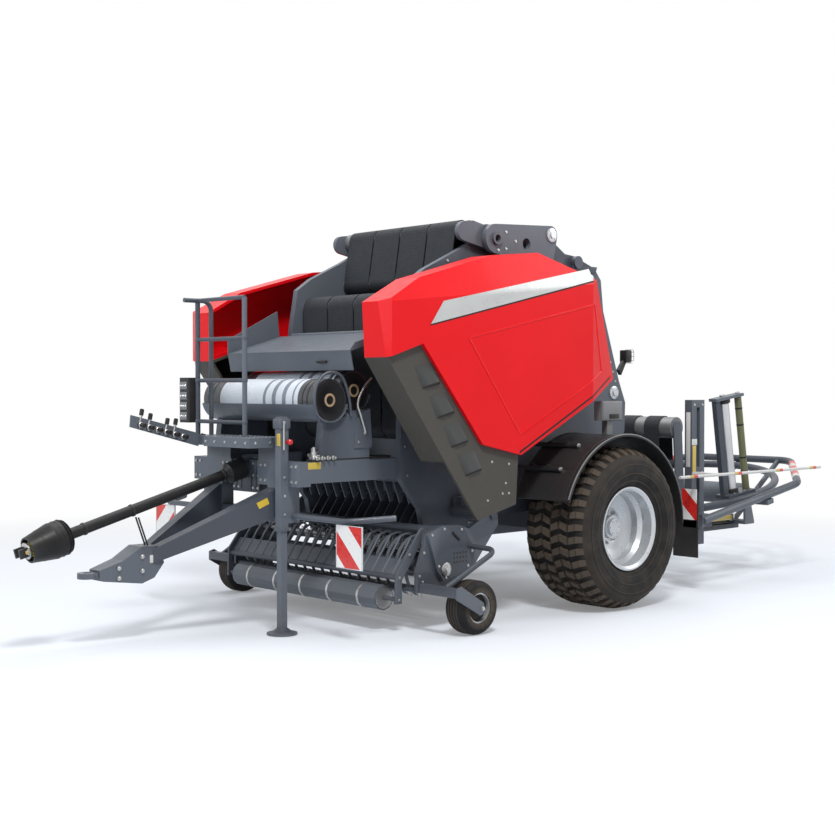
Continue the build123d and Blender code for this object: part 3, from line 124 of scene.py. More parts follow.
WORLD_LEVEL = 0.35  # strength of the white surroundings for the rays that light the machine
world = bpy.data.worlds.new("studio")
world.use_nodes = True
bpy.context.scene.world = world
world_nodes, world_links = world.node_tree.nodes, world.node_tree.links
backdrop = world_nodes["Background"]
backdrop.inputs["Color"].default_value = (1.0, 1.0, 1.0, 1)
level = range_node(world_nodes, world_links, seen_rays(world_nodes, world_links), WORLD_LEVEL, 1.0)
world_links.new(level, backdrop.inputs["Strength"])

FLOOR_HALF = 60.0
FLOOR_HEIGHT = -0.002  # just under the ground plane, so that the tyres' lowest faces stay clear of it
FLOOR_TONE = (0.74, 0.79, 0.87, 1)
# share of plain white in the floor: from NEAR_WHITE beside the machine to all of it where the fade ends
NEAR_WHITE, FADE_START, FADE_END = 0.20, 3.5, 8.0
floor_mesh = bpy.data.meshes.new("floor")
floor_mesh.from_pydata(
    [(x * FLOOR_HALF, y * FLOOR_HALF, FLOOR_HEIGHT) for x, y in ((-1, -1), (1, -1), (1, 1), (-1, 1))],
    [],
    [(0, 1, 2, 3)],
)
floor = bpy.data.objects.new("floor", floor_mesh)
bpy.context.scene.collection.objects.link(floor)
floor_finish = bpy.data.materials.new("floor")
floor_finish.use_nodes = True
floor_nodes, floor_links = floor_finish.node_tree.nodes, floor_finish.node_tree.links
floor_shader = floor_nodes["Principled BSDF"]
floor_shader.inputs["Base Color"].default_value = FLOOR_TONE
floor_shader.inputs["Roughness"].default_value = 0.9
floor_shader.inputs["Specular IOR Level"].default_value = 0.0
floor_glow = floor_nodes.new("ShaderNodeEmission")
floor_glow.inputs["Color"].default_value = (1, 1, 1, 1)
floor_mix = floor_nodes.new("ShaderNodeMixShader")
floor_distance = floor_nodes.new("ShaderNodeVectorMath")
floor_distance.operation = "LENGTH"
floor_links.new(floor_nodes.new("ShaderNodeTexCoord").outputs["Object"], floor_distance.inputs[0])
fade = range_node(
    floor_nodes, floor_links, floor_distance.outputs["Value"], NEAR_WHITE, 1.0, FADE_START, FADE_END
)
floor_white = math_node(floor_nodes, floor_links, "MULTIPLY", seen_rays(floor_nodes, floor_links), fade)
for source, target in zip((floor_white, floor_shader.outputs[0], floor_glow.outputs[0]), floor_mix.inputs):
    floor_links.new(source, target)
floor_links.new(floor_mix.outputs[0], floor_nodes["Material Output"].inputs["Surface"])
floor_mesh.materials.append(floor_finish)

# ---- Materials ----


class Finish:
    """A procedural material: one shader with colour, roughness and bump worked out from noise."""

    def __init__(self, name, metallic=0.0, coat=0.0, specular=0.5):
        self.material = bpy.data.materials.new(name)
        self.material.use_nodes = True
        self.nodes = self.material.node_tree.nodes
        self.links = self.material.node_tree.links
        self.shader = self.nodes["Principled BSDF"]
        self.shader.inputs["Metallic"].default_value = metallic
        self.shader.inputs["Coat Weight"].default_value = coat
        self.shader.inputs["Coat Roughness"].default_value = 0.08
        self.shader.inputs["Specular IOR Level"].default_value = specular
        self.place = self.nodes.new("ShaderNodeTexCoord").outputs["Object"]
        self.split = None

    def noise(self, scale, detail=4.0, stretch=None):
        """Noise value at so many features a metre."""
        source = self.nodes.new("ShaderNodeTexNoise")
        source.inputs["Scale"].default_value = scale
        source.inputs["Detail"].default_value = detail
        vector = self.place
        if stretch:
            mapping = self.nodes.new("ShaderNodeMapping")
            mapping.inputs["Scale"].default_value = stretch
            self.links.new(self.place, mapping.inputs["Vector"])
            vector = mapping.outputs[0]
        self.links.new(vector, source.inputs["Vector"])
        return source.outputs["Fac"]

    def along(self, axis):
        """Object coordinate along X, Y or Z."""
        if self.split is None:
            self.split = self.nodes.new("ShaderNodeSeparateXYZ")
            self.links.new(self.place, self.split.inputs[0])
        return self.split.outputs[axis]

    def math(self, operation, first, second=0.0):
        return math_node(self.nodes, self.links, operation, first, second)

    def spread(self, value, low, high, start=0.3, end=0.7):
        """Remaps a value to a range, by default from the span that noise mostly keeps to."""
        return range_node(self.nodes, self.links, value, low, high, start, end)

    def blend(self, factor, first, second):
        """Mixes two colours, each an RGB tuple or a socket."""
        mix = self.nodes.new("ShaderNodeMix")
        mix.data_type = "RGBA"
        self.links.new(factor, mix.inputs["Factor"])
        for value, name in ((first, "A"), (second, "B")):
            socket = [s for s in mix.inputs if s.name == name and s.type == "RGBA"][0]
            if isinstance(value, tuple):
                socket.default_value = (*value, 1)
            else:
                self.links.new(value, socket)
        return [s for s in mix.outputs if s.type == "RGBA"][0]

    def edges(self):
        """Value that rises on convex edges, where paint wears and dust is rubbed off."""
        geometry = self.nodes.new("ShaderNodeNewGeometry")
        return self.spread(geometry.outputs["Pointiness"], 0, 1, 0.52, 0.60)

    def low_dust(self):
        """Value for the dust that gathers on the lowest parts."""
        height = self.spread(self.along(2), 1, 0, 0.05, 1.0)
        return self.math("MULTIPLY", height, self.spread(self.noise(6.0), 0, 0.55))

    def colour(self, value):
        self.links.new(value, self.shader.inputs["Base Color"])
        return self

    def rough(self, value):
        self.links.new(value, self.shader.inputs["Roughness"])
        return self

    def bump(self, value, height, strength=1.0):
        """Surface relief of a height in metres."""
        node = self.nodes.new("ShaderNodeBump")
        node.inputs["Distance"].default_value = height
        node.inputs["Strength"].default_value = strength
        self.links.new(value, node.inputs["Height"])
        if self.shader.inputs["Normal"].links:
            self.links.new(self.shader.inputs["Normal"].links[0].from_socket, node.inputs["Normal"])
        self.links.new(node.outputs[0], self.shader.inputs["Normal"])
        return self


DUST = (0.17, 0.15, 0.12)


def coating(
    name, colour, dark, roughness, metallic=0.0, coat=0.0, specular=0.5, worn=None, grain=260.0, height=0.0004
):
    """Paint, plastic or metal with slight tone changes, dusty lower parts and a fine grain."""
    made = Finish(name, metallic=metallic, coat=coat, specular=specular)
    base = made.blend(made.spread(made.noise(3.0), 0, 1), colour, dark)
    if worn:
        base = made.blend(made.math("MULTIPLY", made.edges(), 0.6), base, worn)
        base = made.blend(made.math("MULTIPLY", made.low_dust(), 0.35), base, DUST)
    made.colour(base)
    made.rough(made.spread(made.noise(14.0), roughness * 0.85, roughness * 1.2))
    made.bump(made.noise(grain, detail=2.0), height, 0.25)
    return made.material


STRIPE_PAIRS = 3.45  # red and white pairs a metre
STRIPE_SHIFT = 0.38  # share of a pair by which the first one is moved


def striped_board():
    """White reflective board with red diagonals that rise towards the machine's middle."""
    made = Finish("board_white", coat=0.3)
    slant = made.math("ADD", made.math("ABSOLUTE", made.along(1)), made.along(2))
    wave = made.math("FRACT", made.math("ADD", made.math("MULTIPLY", slant, STRIPE_PAIRS), STRIPE_SHIFT))
    red = made.math("GREATER_THAN", wave, 0.5)
    made.colour(made.blend(red, (0.78, 0.78, 0.76), (0.62, 0.02, 0.015)))
    made.rough(made.spread(made.noise(30.0), 0.22, 0.4))
    made.bump(made.noise(900.0, detail=1.0), 0.0003, 0.3)
    return made.material


ROLL_MIDDLE, ROLL_HALF = 0.02, 0.44  # the wound part of the rolls along Y
BANDED = (0.08, 0.42)  # part of that length that carries bands
BANDS = 9.0  # bands a metre


def film_rolls():
    """Wound net in its white wrapper, with pale and blue bands towards the left end."""
    made = Finish("net_film", coat=0.2)
    y = made.along(1)
    bands = made.math("GREATER_THAN", made.math("FRACT", made.math("MULTIPLY", y, BANDS)), 0.62)
    inside = made.math(
        "MULTIPLY", made.math("GREATER_THAN", y, BANDED[0]), made.math("LESS_THAN", y, BANDED[1])
    )
    striped = made.math("MULTIPLY", bands, inside)
    threads = made.spread(made.noise(90.0, 2.0, (1, 14, 1)), 0, 1)
    wound = made.blend(threads, (0.66, 0.70, 0.74), (0.50, 0.56, 0.64))
    wound = made.blend(striped, wound, (0.16, 0.19, 0.24))
    from_middle = made.math("ABSOLUTE", made.math("ADD", y, -ROLL_MIDDLE))
    ends = made.math("GREATER_THAN", from_middle, ROLL_HALF)
    made.colour(made.blend(ends, wound, (0.035, 0.038, 0.045)))
    made.rough(made.spread(made.noise(30.0), 0.25, 0.45))
    made.bump(made.noise(220.0, 2.0, (1, 5, 1)), 0.0012, 0.5)
    return made.material


RIB_TURN = 420.0  # radians of the belt's rib wave for each metre


def belting():
    """Ribbed rubber belt with dusty wear."""
    made = Finish("belt_rubber", specular=0.15)
    ribs = made.math("SINE", made.math("MULTIPLY", made.math("ADD", made.along(2), made.along(0)), RIB_TURN))
    base = made.blend(made.spread(made.noise(5.0), 0, 1), (0.010, 0.011, 0.014), (0.017, 0.019, 0.024))
    made.colour(made.blend(made.math("MULTIPLY", made.edges(), 0.5), base, (0.05, 0.055, 0.062)))
    made.rough(made.spread(made.noise(22.0), 0.5, 0.7))
    made.bump(ribs, 0.0008, 0.35)
    made.bump(made.noise(300.0), 0.0005, 0.3)
    return made.material


def tyre_compound():
    """Black rubber whose tread and lower walls carry brown dust."""
    made = Finish("tyre_rubber", specular=0.2)
    dust = made.spread(made.noise(9.0), 0.0, 0.55, 0.42, 0.68)
    worn = made.math("MULTIPLY", made.edges(), 0.55)
    base = made.blend(dust, (0.012, 0.012, 0.013), (0.040, 0.034, 0.028))
    made.colour(made.blend(worn, base, (0.13, 0.10, 0.075)))
    made.rough(made.spread(made.noise(16.0), 0.62, 0.82))
    made.bump(made.noise(180.0), 0.0008, 0.35)
    return made.material


COATINGS = {
    # name: colour, dark tone, roughness, metallic, coat, specular, colour of worn edges, grain, its height
    "blue_paint": ((0.066, 0.076, 0.096), (0.054, 0.063, 0.080), 0.42, 0.0, 0.10, 0.22, (0.15, 0.17, 0.20)),
    "red_paint": ((0.76, 0.004, 0.009), (0.72, 0.003, 0.007), 0.34, 0.0, 0.12, 0.15),
    "dark_panel": ((0.046, 0.043, 0.036), (0.038, 0.036, 0.031), 0.6, 0.0, 0.0, 0.18, (0.09, 0.085, 0.075)),
    "black_plastic": ((0.006, 0.006, 0.007), (0.010, 0.010, 0.011), 0.4, 0.0, 0.0, 0.25, (0.035, 0.035, 0.036)),
    "roller_steel": ((0.11, 0.12, 0.14), (0.07, 0.08, 0.10), 0.42, 0.5, 0.0, 0.5, (0.3, 0.3, 0.3)),
    "silver_paint": ((0.60, 0.62, 0.64), (0.50, 0.52, 0.54), 0.30, 0.55, 0.2),
    "aluminium": ((0.62, 0.63, 0.64), (0.50, 0.51, 0.53), 0.32, 0.85),
    "white_paint": ((0.74, 0.74, 0.72), (0.64, 0.64, 0.63), 0.4, 0.0, 0.0, 0.5, (0.5, 0.5, 0.48)),
    "grey_plastic": ((0.20, 0.205, 0.21), (0.15, 0.155, 0.16), 0.5),
    "olive_plastic": ((0.10, 0.11, 0.05), (0.14, 0.14, 0.07), 0.5),
    # the rest are finishes that no slot of the record has
    "yellow": ((0.72, 0.50, 0.02), (0.62, 0.42, 0.015), 0.4, 0.0, 0.3, 0.5, (0.35, 0.28, 0.1)),
    "red": ((0.60, 0.012, 0.012), (0.50, 0.01, 0.01), 0.35, 0.0, 0.3),
    "steel": ((0.55, 0.55, 0.54), (0.40, 0.40, 0.40), 0.3, 0.9, 0.0, 0.5, None, 400.0),
    "decal": ((0.50, 0.51, 0.50), (0.44, 0.45, 0.44), 0.3, 0.35, 0.4),
    "hose": ((0.012, 0.012, 0.013), (0.022, 0.022, 0.024), 0.45, 0.0, 0.0, 0.5, None, 700.0, 0.0008),
    "lens": ((0.80, 0.80, 0.82), (0.66, 0.66, 0.70), 0.08, 0.3, 0.8),
    "core": ((0.42, 0.30, 0.18), (0.34, 0.24, 0.14), 0.7),
    # lighter, cooler copy of dark_panel for the skirt scoops' faces: painted highlight where they face the
    # lamps
    "lit_facet": ((0.056, 0.057, 0.056), (0.048, 0.049, 0.048), 0.5, 0.0, 0.0, 0.25),
}
FINISHES = {name: coating(name, *row) for name, row in COATINGS.items()}
FINISHES["belt_rubber"] = belting()
FINISHES["tyre_rubber"] = tyre_compound()
FINISHES["net_film"] = film_rolls()
FINISHES["board_white"] = striped_board()
slot_of = {entry["node"]: entry["material_slot"] for entry in frame["record"]["subparts"]}
for node_name, node in NODES.items():
    node.data.materials.clear()
    node.data.materials.append(FINISHES[slot_of[node_name]])

# ---- Mesh tools: places are (ahead of the axle, left, up) in metres ----


def spot(place):
    return Vector((place[0] + AXLE, place[1], place[2]))


def around(count, radius, shift=0.0):
    """Even places on a circle as two offsets, the first place turned by a share of a step."""
    for i in range(count):
        turn = 2 * math.pi * (i + shift) / count
        yield radius * math.cos(turn), radius * math.sin(turn)


def rounded(radius, rise, half, slope=0.002):
    """Lathe steps of a band that stands up from a radius, with sloping edges."""
    return (-half, radius), (-half + slope, radius + rise), (half - slope, radius + rise), (half, radius)


class Piece:
    """A named mesh that rides on a body and has the finish of its slot, or another one that is named."""

    waiting = []

    def __init__(self, name, slot, finish=None, body="chassis"):
        Piece.waiting.append(self)
        self.name, self.body, self.slot = name, body, slot
        self.material = FINISHES[finish or slot]
        self.mesh = bmesh.new()

    def ring(self, centre, across, up, radius, sides):
        turn = 2 * math.pi / sides
        return [
            self.mesh.verts.new(centre + (across * math.cos(i * turn) + up * math.sin(i * turn)) * radius)
            for i in range(sides)
        ]

    def skin(self, rings, closed_ends=True, loop=False):
        """Faces between rings of vertices, with the two ends closed unless the rings run in a loop."""
        for first, second in zip(rings, rings[1:] + ([rings[0]] if loop else [])):
            for i in range(len(first)):
                j = (i + 1) % len(first)
                self.mesh.faces.new((first[i], first[j], second[j], second[i]))
        if closed_ends and not loop:
            self.mesh.faces.new(list(reversed(rings[0])))
            self.mesh.faces.new(rings[-1])

    def lathe(self, start, direction, profile, sides=24, closed=True):
        """Round body along a direction from (distance, radius) steps."""
        axis = Vector(direction).normalized()
        across = axis.orthogonal().normalized()
        up = axis.cross(across)
        origin = spot(start)
        self.skin([self.ring(origin + axis * d, across, up, r, sides) for d, r in profile], closed)
        return self

    def rod(self, start, end, radius, sides=16):
        run = Vector(end) - Vector(start)
        return self.lathe(start, run, ((0, radius), (run.length, radius)), sides)

    def box(self, x, y, z, bevel=0.004):
        """Block between limits with its edges broken."""
        made = bmesh.ops.create_cube(self.mesh, size=1.0)
        centre = spot(((x[0] + x[1]) / 2, (y[0] + y[1]) / 2, (z[0] + z[1]) / 2))
        size = Vector((abs(x[1] - x[0]), abs(y[1] - y[0]), abs(z[1] - z[0])))
        for vert in made["verts"]:
            vert.co = Vector([vert.co[i] * size[i] for i in range(3)]) + centre
        bevel = min(bevel, min(size) * 0.3)
        edges = {edge for vert in made["verts"] for edge in vert.link_edges}
        bmesh.ops.bevel(self.mesh, geom=list(edges), offset=bevel, segments=2, affect="EDGES", profile=0.5)
        return self

    def prism(self, outline, y_low, y_high):
        """Plate cut to an (x, z) outline between two Y values."""
        low = [self.mesh.verts.new(spot((x, y_low, z))) for x, z in outline]
        high = [self.mesh.verts.new(spot((x, y_high, z))) for x, z in outline]
        self.skin([low, high])
        return self

    def tube(self, places, radius, sides=10, smooth=8):
        """Round tube through places along a smooth line."""
        knots = [spot(p) for p in places]
        line = []
        for i in range(len(knots) - 1):
            before = knots[max(i - 1, 0)]
            after = knots[min(i + 2, len(knots) - 1)]
            for step in range(smooth):
                t = step / smooth
                a, b = knots[i], knots[i + 1]
                m0, m1 = (b - before) / 2, (after - a) / 2
                line.append(
                    a * (2 * t**3 - 3 * t**2 + 1)
                    + m0 * (t**3 - 2 * t**2 + t)
                    + b * (3 * t**2 - 2 * t**3)
                    + m1 * (t**3 - t**2)
                )
        line.append(knots[-1])
        tangent = (line[1] - line[0]).normalized()
        across = tangent.orthogonal().normalized()
        rings = []
        for i, point in enumerate(line):
            ahead = line[min(i + 1, len(line) - 1)] - line[max(i - 1, 0)]
            tangent = ahead.normalized()
            across = (across - tangent * across.dot(tangent)).normalized()
            rings.append(self.ring(point, across, tangent.cross(across), radius, sides))
        self.skin(rings)
        return self

    def bolt(self, place, direction, size=0.012):
        """Hexagon head on a washer."""
        self.lathe(place, direction, ((0, size * 1.1), (size * 0.18, size * 1.1)), 18)
        foot = Vector(place) + Vector(direction).normalized() * size * 0.17
        profile = ((0, size * 0.85), (size * 0.6, size * 0.85), (size * 0.72, size * 0.7))
        return self.lathe(foot, direction, profile, 6)

    def bolts(self, places, direction, size):
        for place in places:
            self.bolt(place, direction, size)

    def side_bolts(self, y, places, size):
        """Bolts at (x, z) places on both sides of the machine."""
        for sign in (1, -1):
            self.bolts([(x, sign * y, z) for x, z in places], (0, sign, 0), size)

    def done(self, angle=40):
        """Makes the object, with edges sharper than the angle left hard."""
        Piece.waiting.remove(self)
        data = bpy.data.meshes.new(self.name)
        bmesh.ops.recalc_face_normals(self.mesh, faces=self.mesh.faces)
        for face in self.mesh.faces:
            face.smooth = True
        for edge in self.mesh.edges:
            if len(edge.link_faces) == 2 and edge.calc_face_angle(0) > math.radians(angle):
                edge.smooth = False
        self.mesh.to_mesh(data)
        self.mesh.free()
        data.materials.append(self.material)
        made = bpy.data.objects.new(self.name, data)
        bpy.context.scene.collection.objects.link(made)
        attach(made, self.body)
        return made


def steel(name, body="chassis"):
    """Piece in bright steel, which is filed under the slot nearest to it."""
    return Piece(name, "silver_paint", "steel", body)


FAR_OUT = 3.0  # beyond the machine's side, where the rays start


def surface(node_name, sign):
    """Function that gives Y of a node's outermost face on one side at an (x, z) place."""
    data = NODES[node_name].data
    tree = BVHTree.FromPolygons([v.co[:] for v in data.vertices], [p.vertices[:] for p in data.polygons])

    def reach(x, z):
        hit = tree.ray_cast(spot((x, sign * FAR_OUT, z)), Vector((0, -sign, 0)))[0]
        return hit.y if hit else None

    return reach


def patch(reach, corners, across, up):
    """Grid of (x, y, z, s, t) on a surface inside (x, z) corners: low front, low rear, top rear, top front."""
    low_front, low_rear, top_rear, top_front = [Vector(c) for c in corners]
    rows, last = [], 0.0
    for j in range(up + 1):
        rows.append([])
        for i in range(across + 1):
            s, t = i / across, j / up
            x, z = low_front.lerp(low_rear, s).lerp(top_front.lerp(top_rear, s), t)
            y = reach(x, z)
            last = y if y is not None else last
            rows[-1].append((x, last, z, s, t))
    return rows


def sheet(piece, places):
    """Thin sheet through rows of places."""
    grid = [[piece.mesh.verts.new(spot(place)) for place in row] for row in places]
    for low, high in zip(grid, grid[1:]):
        for i in range(len(low) - 1):
            piece.mesh.faces.new((low[i], low[i + 1], high[i + 1], high[i]))


def draped(piece, reach, sign, corners, lift, across, up):
    """Sheet that follows a surface at a small lift."""
    rows = patch(reach, corners, across, up)
    sheet(piece, [[(x, y + sign * lift, z) for x, y, z, s, t in row] for row in rows])


SCOOP_EDGE = 6  # the scoop rises to its full depth over one sixth of its width at each side
SCOOP_LIFT, LIP_INSET = 0.0008, 0.0006
MOUTH_BACK, MOUTH_DROP, MOUTH_LIFT = 0.004, 0.020, 0.001  # the black sheet laid below the mouth as painted shadow


def louvre(face, shade, reach, sign, corners, stand, across=10, up=4):
    """Scoop that leaves a surface at its top edge and stands off it at its low edge, with a black sheet below
    its mouth as painted shadow.
    """
    rows = [
        [
            (x, y, z, stand * (1 - t) * min(1.0, SCOOP_EDGE * min(s, 1 - s)) + SCOOP_LIFT)
            for x, y, z, s, t in row
        ]
        for row in patch(reach, corners, across, up)
    ]
    sheet(face, [[(x, y + sign * lift, z) for x, y, z, lift in row] for row in rows])
    lip = [(x, y + sign * (lift - LIP_INSET), z) for x, y, z, lift in rows[0]]
    root = [(x, y - sign * MOUTH_LIFT, z) for x, y, z, lift in rows[0]]
    below = [(x - MOUTH_BACK, y + sign * MOUTH_LIFT, z - MOUTH_DROP) for x, y, z, lift in rows[0]]
    sheet(shade, [lip, root, below])


# ---- Main wheels: treaded tyres in place of the plain ones, nuts, hubs and valves ----
TYRE_R, WHEEL_Y = 0.585, 1.130
TREAD = 0.024  # depth of the tread
BLOCK_ROOT, BLOCK_TOP = 1.25, 0.88  # how far blocks reach down, in tread depths, and how far they narrow
PITCHES = 40  # tread blocks round each half of the tyre
STEPS = 96  # steps round the casing
NUTS, NUT_CIRCLE, HUB_BOLTS, HUB_CIRCLE = 10, 0.1175, 6, 0.048
# top of the tread as (distance from the tyre's middle, radius)
CROWN = ((0.0, 0.585), (0.150, 0.585), (0.205, 0.571), (0.252, 0.546), (0.286, 0.501))
# casing's outer and inner faces on one side as (radius, distance from the tyre's middle)
OUTSIDE = (
    (0.2845, 0.205), (0.3035, 0.238), (0.330, 0.262), (0.380, 0.288), (0.430, 0.298),
    (0.501, 0.286), (0.530, 0.262), (0.549, 0.205), (0.562, 0.150),
)
INSIDE = ((0.40, 0.255), (0.50, 0.230), (0.535, 0.120))
# corners of the four tread blocks of one pitch as (share of the pitch, distance from the middle)
BLOCKS = (
    ((0.02, 0.006), (0.60, 0.006), (0.86, 0.070), (0.28, 0.070)),
    ((0.36, 0.086), (0.94, 0.086), (0.66, 0.150), (0.08, 0.150)),
    ((0.10, 0.166), (0.68, 0.166), (0.80, 0.212), (0.22, 0.212)),
    ((0.22, 0.212), (0.80, 0.212), (0.80, 0.262), (0.22, 0.262)),
)
# raised rings on the tyre's wall, in the same order
WALL_RINGS = ((0.345, 0.2695), (0.465, 0.2920), (0.400, 0.2920))


def crown(y):
    """Radius of the tread's top at a distance from the tyre's middle."""
    for (y0, r0), (y1, r1) in zip(CROWN, CROWN[1:]):
        if y <= y1:
            return r0 + (r1 - r0) * (y - y0) / (y1 - y0)
    return CROWN[-1][1]


def on_wheel(centre_y, turn, radius, y):
    """Place on a main wheel at a turn from its lowest point."""
    return spot((radius * math.sin(turn), centre_y + y, TYRE_R - radius * math.cos(turn)))


def tread_block(piece, centre_y, polygon):
    """Rubber block from a polygon of (turn, y), its sides drawn in a little towards the top."""
    middle = sum((Vector(p) for p in polygon), Vector((0, 0))) / len(polygon)
    levels = []
    for share, depth in ((1.0, TREAD * BLOCK_ROOT), (BLOCK_TOP, 0.0)):
        ring = []
        for corner in polygon:
            turn, y = middle + (Vector(corner) - middle) * share
            ring.append(piece.mesh.verts.new(on_wheel(centre_y, turn, crown(abs(y)) - depth, y)))
        levels.append(ring)
    piece.skin(levels)


casing = [(r, -y) for r, y in OUTSIDE] + list(OUTSIDE[::-1]) + list(INSIDE) + [(r, -y) for r, y in INSIDE[::-1]]
for side, sign in SIDES:
    centre_y = sign * WHEEL_Y
    out = (0, sign, 0)
    tyre = Piece(f"tread_tyre_{side}", "tyre_rubber", body=f"wheel_{side}")
    turns = [2 * math.pi * i / STEPS for i in range(STEPS)]
    rings = [[tyre.mesh.verts.new(on_wheel(centre_y, turn, r, y)) for r, y in casing] for turn in turns]
    tyre.skin(rings, loop=True)
    pitch = 2 * math.pi / PITCHES
    for i in range(PITCHES):
        for half in (1, -1):
            start = (i + (0.5 if half < 0 else 0.0)) * pitch
            for block in BLOCKS:
                tread_block(tyre, centre_y, [(start + share * pitch, half * y) for share, y in block])
    for radius, wall_y in WALL_RINGS:
        rise = [(d, radius + dr) for d, dr in ((0.0, 0.006), (0.004, 0.003), (0.004, -0.003), (0.0, -0.006))]
        tyre.lathe((0, centre_y + sign * wall_y, TYRE_R), out, rise, STEPS, False)
    made = tyre.done(30)
    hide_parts(f"tyre_{side}")

    nuts = steel(f"wheel_nuts_{side}", f"wheel_{side}")
    for up, ahead in around(NUTS, NUT_CIRCLE):
        place = Vector((ahead, centre_y + sign * 0.0395, TYRE_R + up))
        nuts.bolt(place, out, 0.015)
        nuts.rod(place + Vector(out) * 0.008, place + Vector(out) * 0.024, 0.0075, 10)
    for up, ahead in around(HUB_BOLTS, HUB_CIRCLE, 0.5):
        nuts.bolt((ahead, centre_y + sign * 0.1175, TYRE_R + up), out, 0.006)
    valve = [(x, centre_y + sign * y, TYRE_R + z) for x, y, z in ((0.185, 0.070, 0.12), (0.21, 0.125, 0.135))]
    nuts.rod(*valve, 0.005)

# fender lips, a grey tube along each black fender's outer lip as painted highlight, and the bright nuts on the
# stays
lips = Piece("fender_lips", "black_plastic")
edges = Piece("fender_lip_highlights", "grey_plastic")
stay_nuts = steel("fender_bolts")
FENDER_X, FENDER_R = 0.02, 0.679  # middle of the fenders' arc and its outer radius
FENDER_EDGE_Y = 1.368


def on_fender(angle, y, lift=0.0):
    """Place over a fender at an angle in degrees from straight ahead."""
    turn, radius = math.radians(angle), FENDER_R + lift
    return (FENDER_X + radius * math.cos(turn), y, TYRE_R + radius * math.sin(turn))


for sign in (1, -1):
    for y in (FENDER_EDGE_Y, 1.335, 0.868):
        arc = [on_fender(angle, sign * y) for angle in range(21, 178, 8)]
        (edges if y == FENDER_EDGE_Y else lips).tube(arc, 0.0055, 8, 3)
    for angle in (40, 61):
        x, y, z = on_fender(angle, sign * 1.2, 0.010)
        stay_nuts.bolt((x, y, z), (0, sign, 0), 0.016)
        for y in (0.95, 1.10):
            lips.rod((x, sign * (y - 0.02), z + 0.012), (x, sign * (y + 0.02), z + 0.012), 0.017, 14)

# ---- Side panels and skirts ----
CREASE_R, CREASE_SUNK, CREASE_STEPS = 0.007, 0.002, 12
SCOOPS, SCOOP_STEP, SCOOP_STAND = 4, (-0.125, -0.193), 0.022  # from the highest scoop down
SCOOP_CORNERS = ((1.785, 1.610), (1.630, 1.648), (1.700, 1.765), (1.850, 1.735))
SKIRT_SCREWS = ((1.00, 0.88), (1.06, 0.88), (1.03, 0.95), (1.20, 0.84), (1.00, 1.08), (1.16, 1.10))
for side, sign in SIDES:
    reach = surface(f"side_panel_{side}", sign)
    band = Piece(f"panel_band_{side}", "red_paint", "decal", body=f"panel_{side}")
    draped(band, reach, sign, ((1.735, 2.012), (0.17, 2.372), (0.19, 2.455), (1.625, 2.165)), 0.0015, 40, 8)
    # thin black outline below the band and a dark lower edge
    lines = Piece(f"panel_lines_{side}", "black_plastic", body=f"panel_{side}")
    draped(lines, reach, sign, ((1.745, 2.000), (0.165, 2.362), (0.17, 2.371), (1.736, 2.011)), 0.0013, 40, 1)
    draped(lines, reach, sign, ((0.93, 1.148), (-0.09, 1.672), (-0.10, 1.690), (0.925, 1.166)), 0.0013, 30, 1)
    crease = Piece(f"panel_crease_{side}", "red_paint", body=f"panel_{side}")
    corners = ((1.40, 1.93), (0.16, 2.20), (0.05, 1.72), (0.92, 1.28))
    for start, end in zip(corners, corners[1:] + corners[:1]):
        points = []
        for i in range(CREASE_STEPS + 1):
            x, z = Vector(start).lerp(Vector(end), i / CREASE_STEPS)
            y = reach(x, z)
            if y is not None:
                points.append((x, y - sign * CREASE_SUNK, z))
        crease.tube(points, CREASE_R, 8, 2)

    skirt_reach = surface(f"side_skirt_{side}", sign)
    # the scoops' faces take a lighter copy of the skirt's paint as painted highlight
    vents = Piece(f"skirt_vents_{side}", "dark_panel", "lit_facet", body=f"panel_{side}")
    # black sheets under the scoops' mouths: painted shadow
    shades = Piece(f"skirt_shades_{side}", "black_plastic", body=f"panel_{side}")
    for i in range(SCOOPS):
        corners = [(x + SCOOP_STEP[0] * i, z + SCOOP_STEP[1] * i) for x, z in SCOOP_CORNERS]
        if skirt_reach(*corners[0]) is not None and skirt_reach(*corners[1]) is not None:
            louvre(vents, shades, skirt_reach, sign, corners, SCOOP_STAND)
    screws = steel(f"skirt_screws_{side}", f"panel_{side}")
    for x, z in SKIRT_SCREWS:
        y = skirt_reach(x, z)
        if y is not None:
            screws.bolt((x, y, z), (0, sign, 0), 0.008)

# ---- Drawbar, shaft, jack ----
shaft_start, shaft_end = Vector((2.395, 0, 1.066)), Vector((4.040, 0, 0.613))
shaft_run = (shaft_end - shaft_start).normalized()
EAR_Y = 0.0385  # where the yoke's ears stand off the shaft's line
# front shield's ribs as (distance behind the shaft's front end, radius)
SHIELD_RIBS = ((0.325, 0.105), (0.305, 0.114), (0.270, 0.1145), (0.235, 0.114), (0.205, 0.108), (0.150, 0.098))
fork = steel("shaft_yoke", "drive_shaft")
for sign in (1, -1):
    ear = Vector((0, sign, 0))
    fork.lathe(shaft_end - shaft_run * 0.058 + ear * EAR_Y, ear, ((0, 0.020), (0.006, 0.020)), 18)
fork.lathe(shaft_end - shaft_run * 0.070, shaft_run, ((0, 0.052), (0.012, 0.052), (0.016, 0.046)), 28)
collar = Piece("shaft_collar", "silver_paint", "yellow", body="drive_shaft")
collar.lathe(shaft_end - shaft_run * 0.140, shaft_run, ((0, 0.046), (0.05, 0.046), (0.068, 0.036)), 30)
for sign in (1, -1):
    base = shaft_end - shaft_run * 0.064 + Vector((0, sign * EAR_Y, 0))
    collar.lathe(base, shaft_run, ((0, 0.012), (0.03, 0.010)), 12)
ribs = Piece("shaft_ribs", "black_plastic", body="drive_shaft")
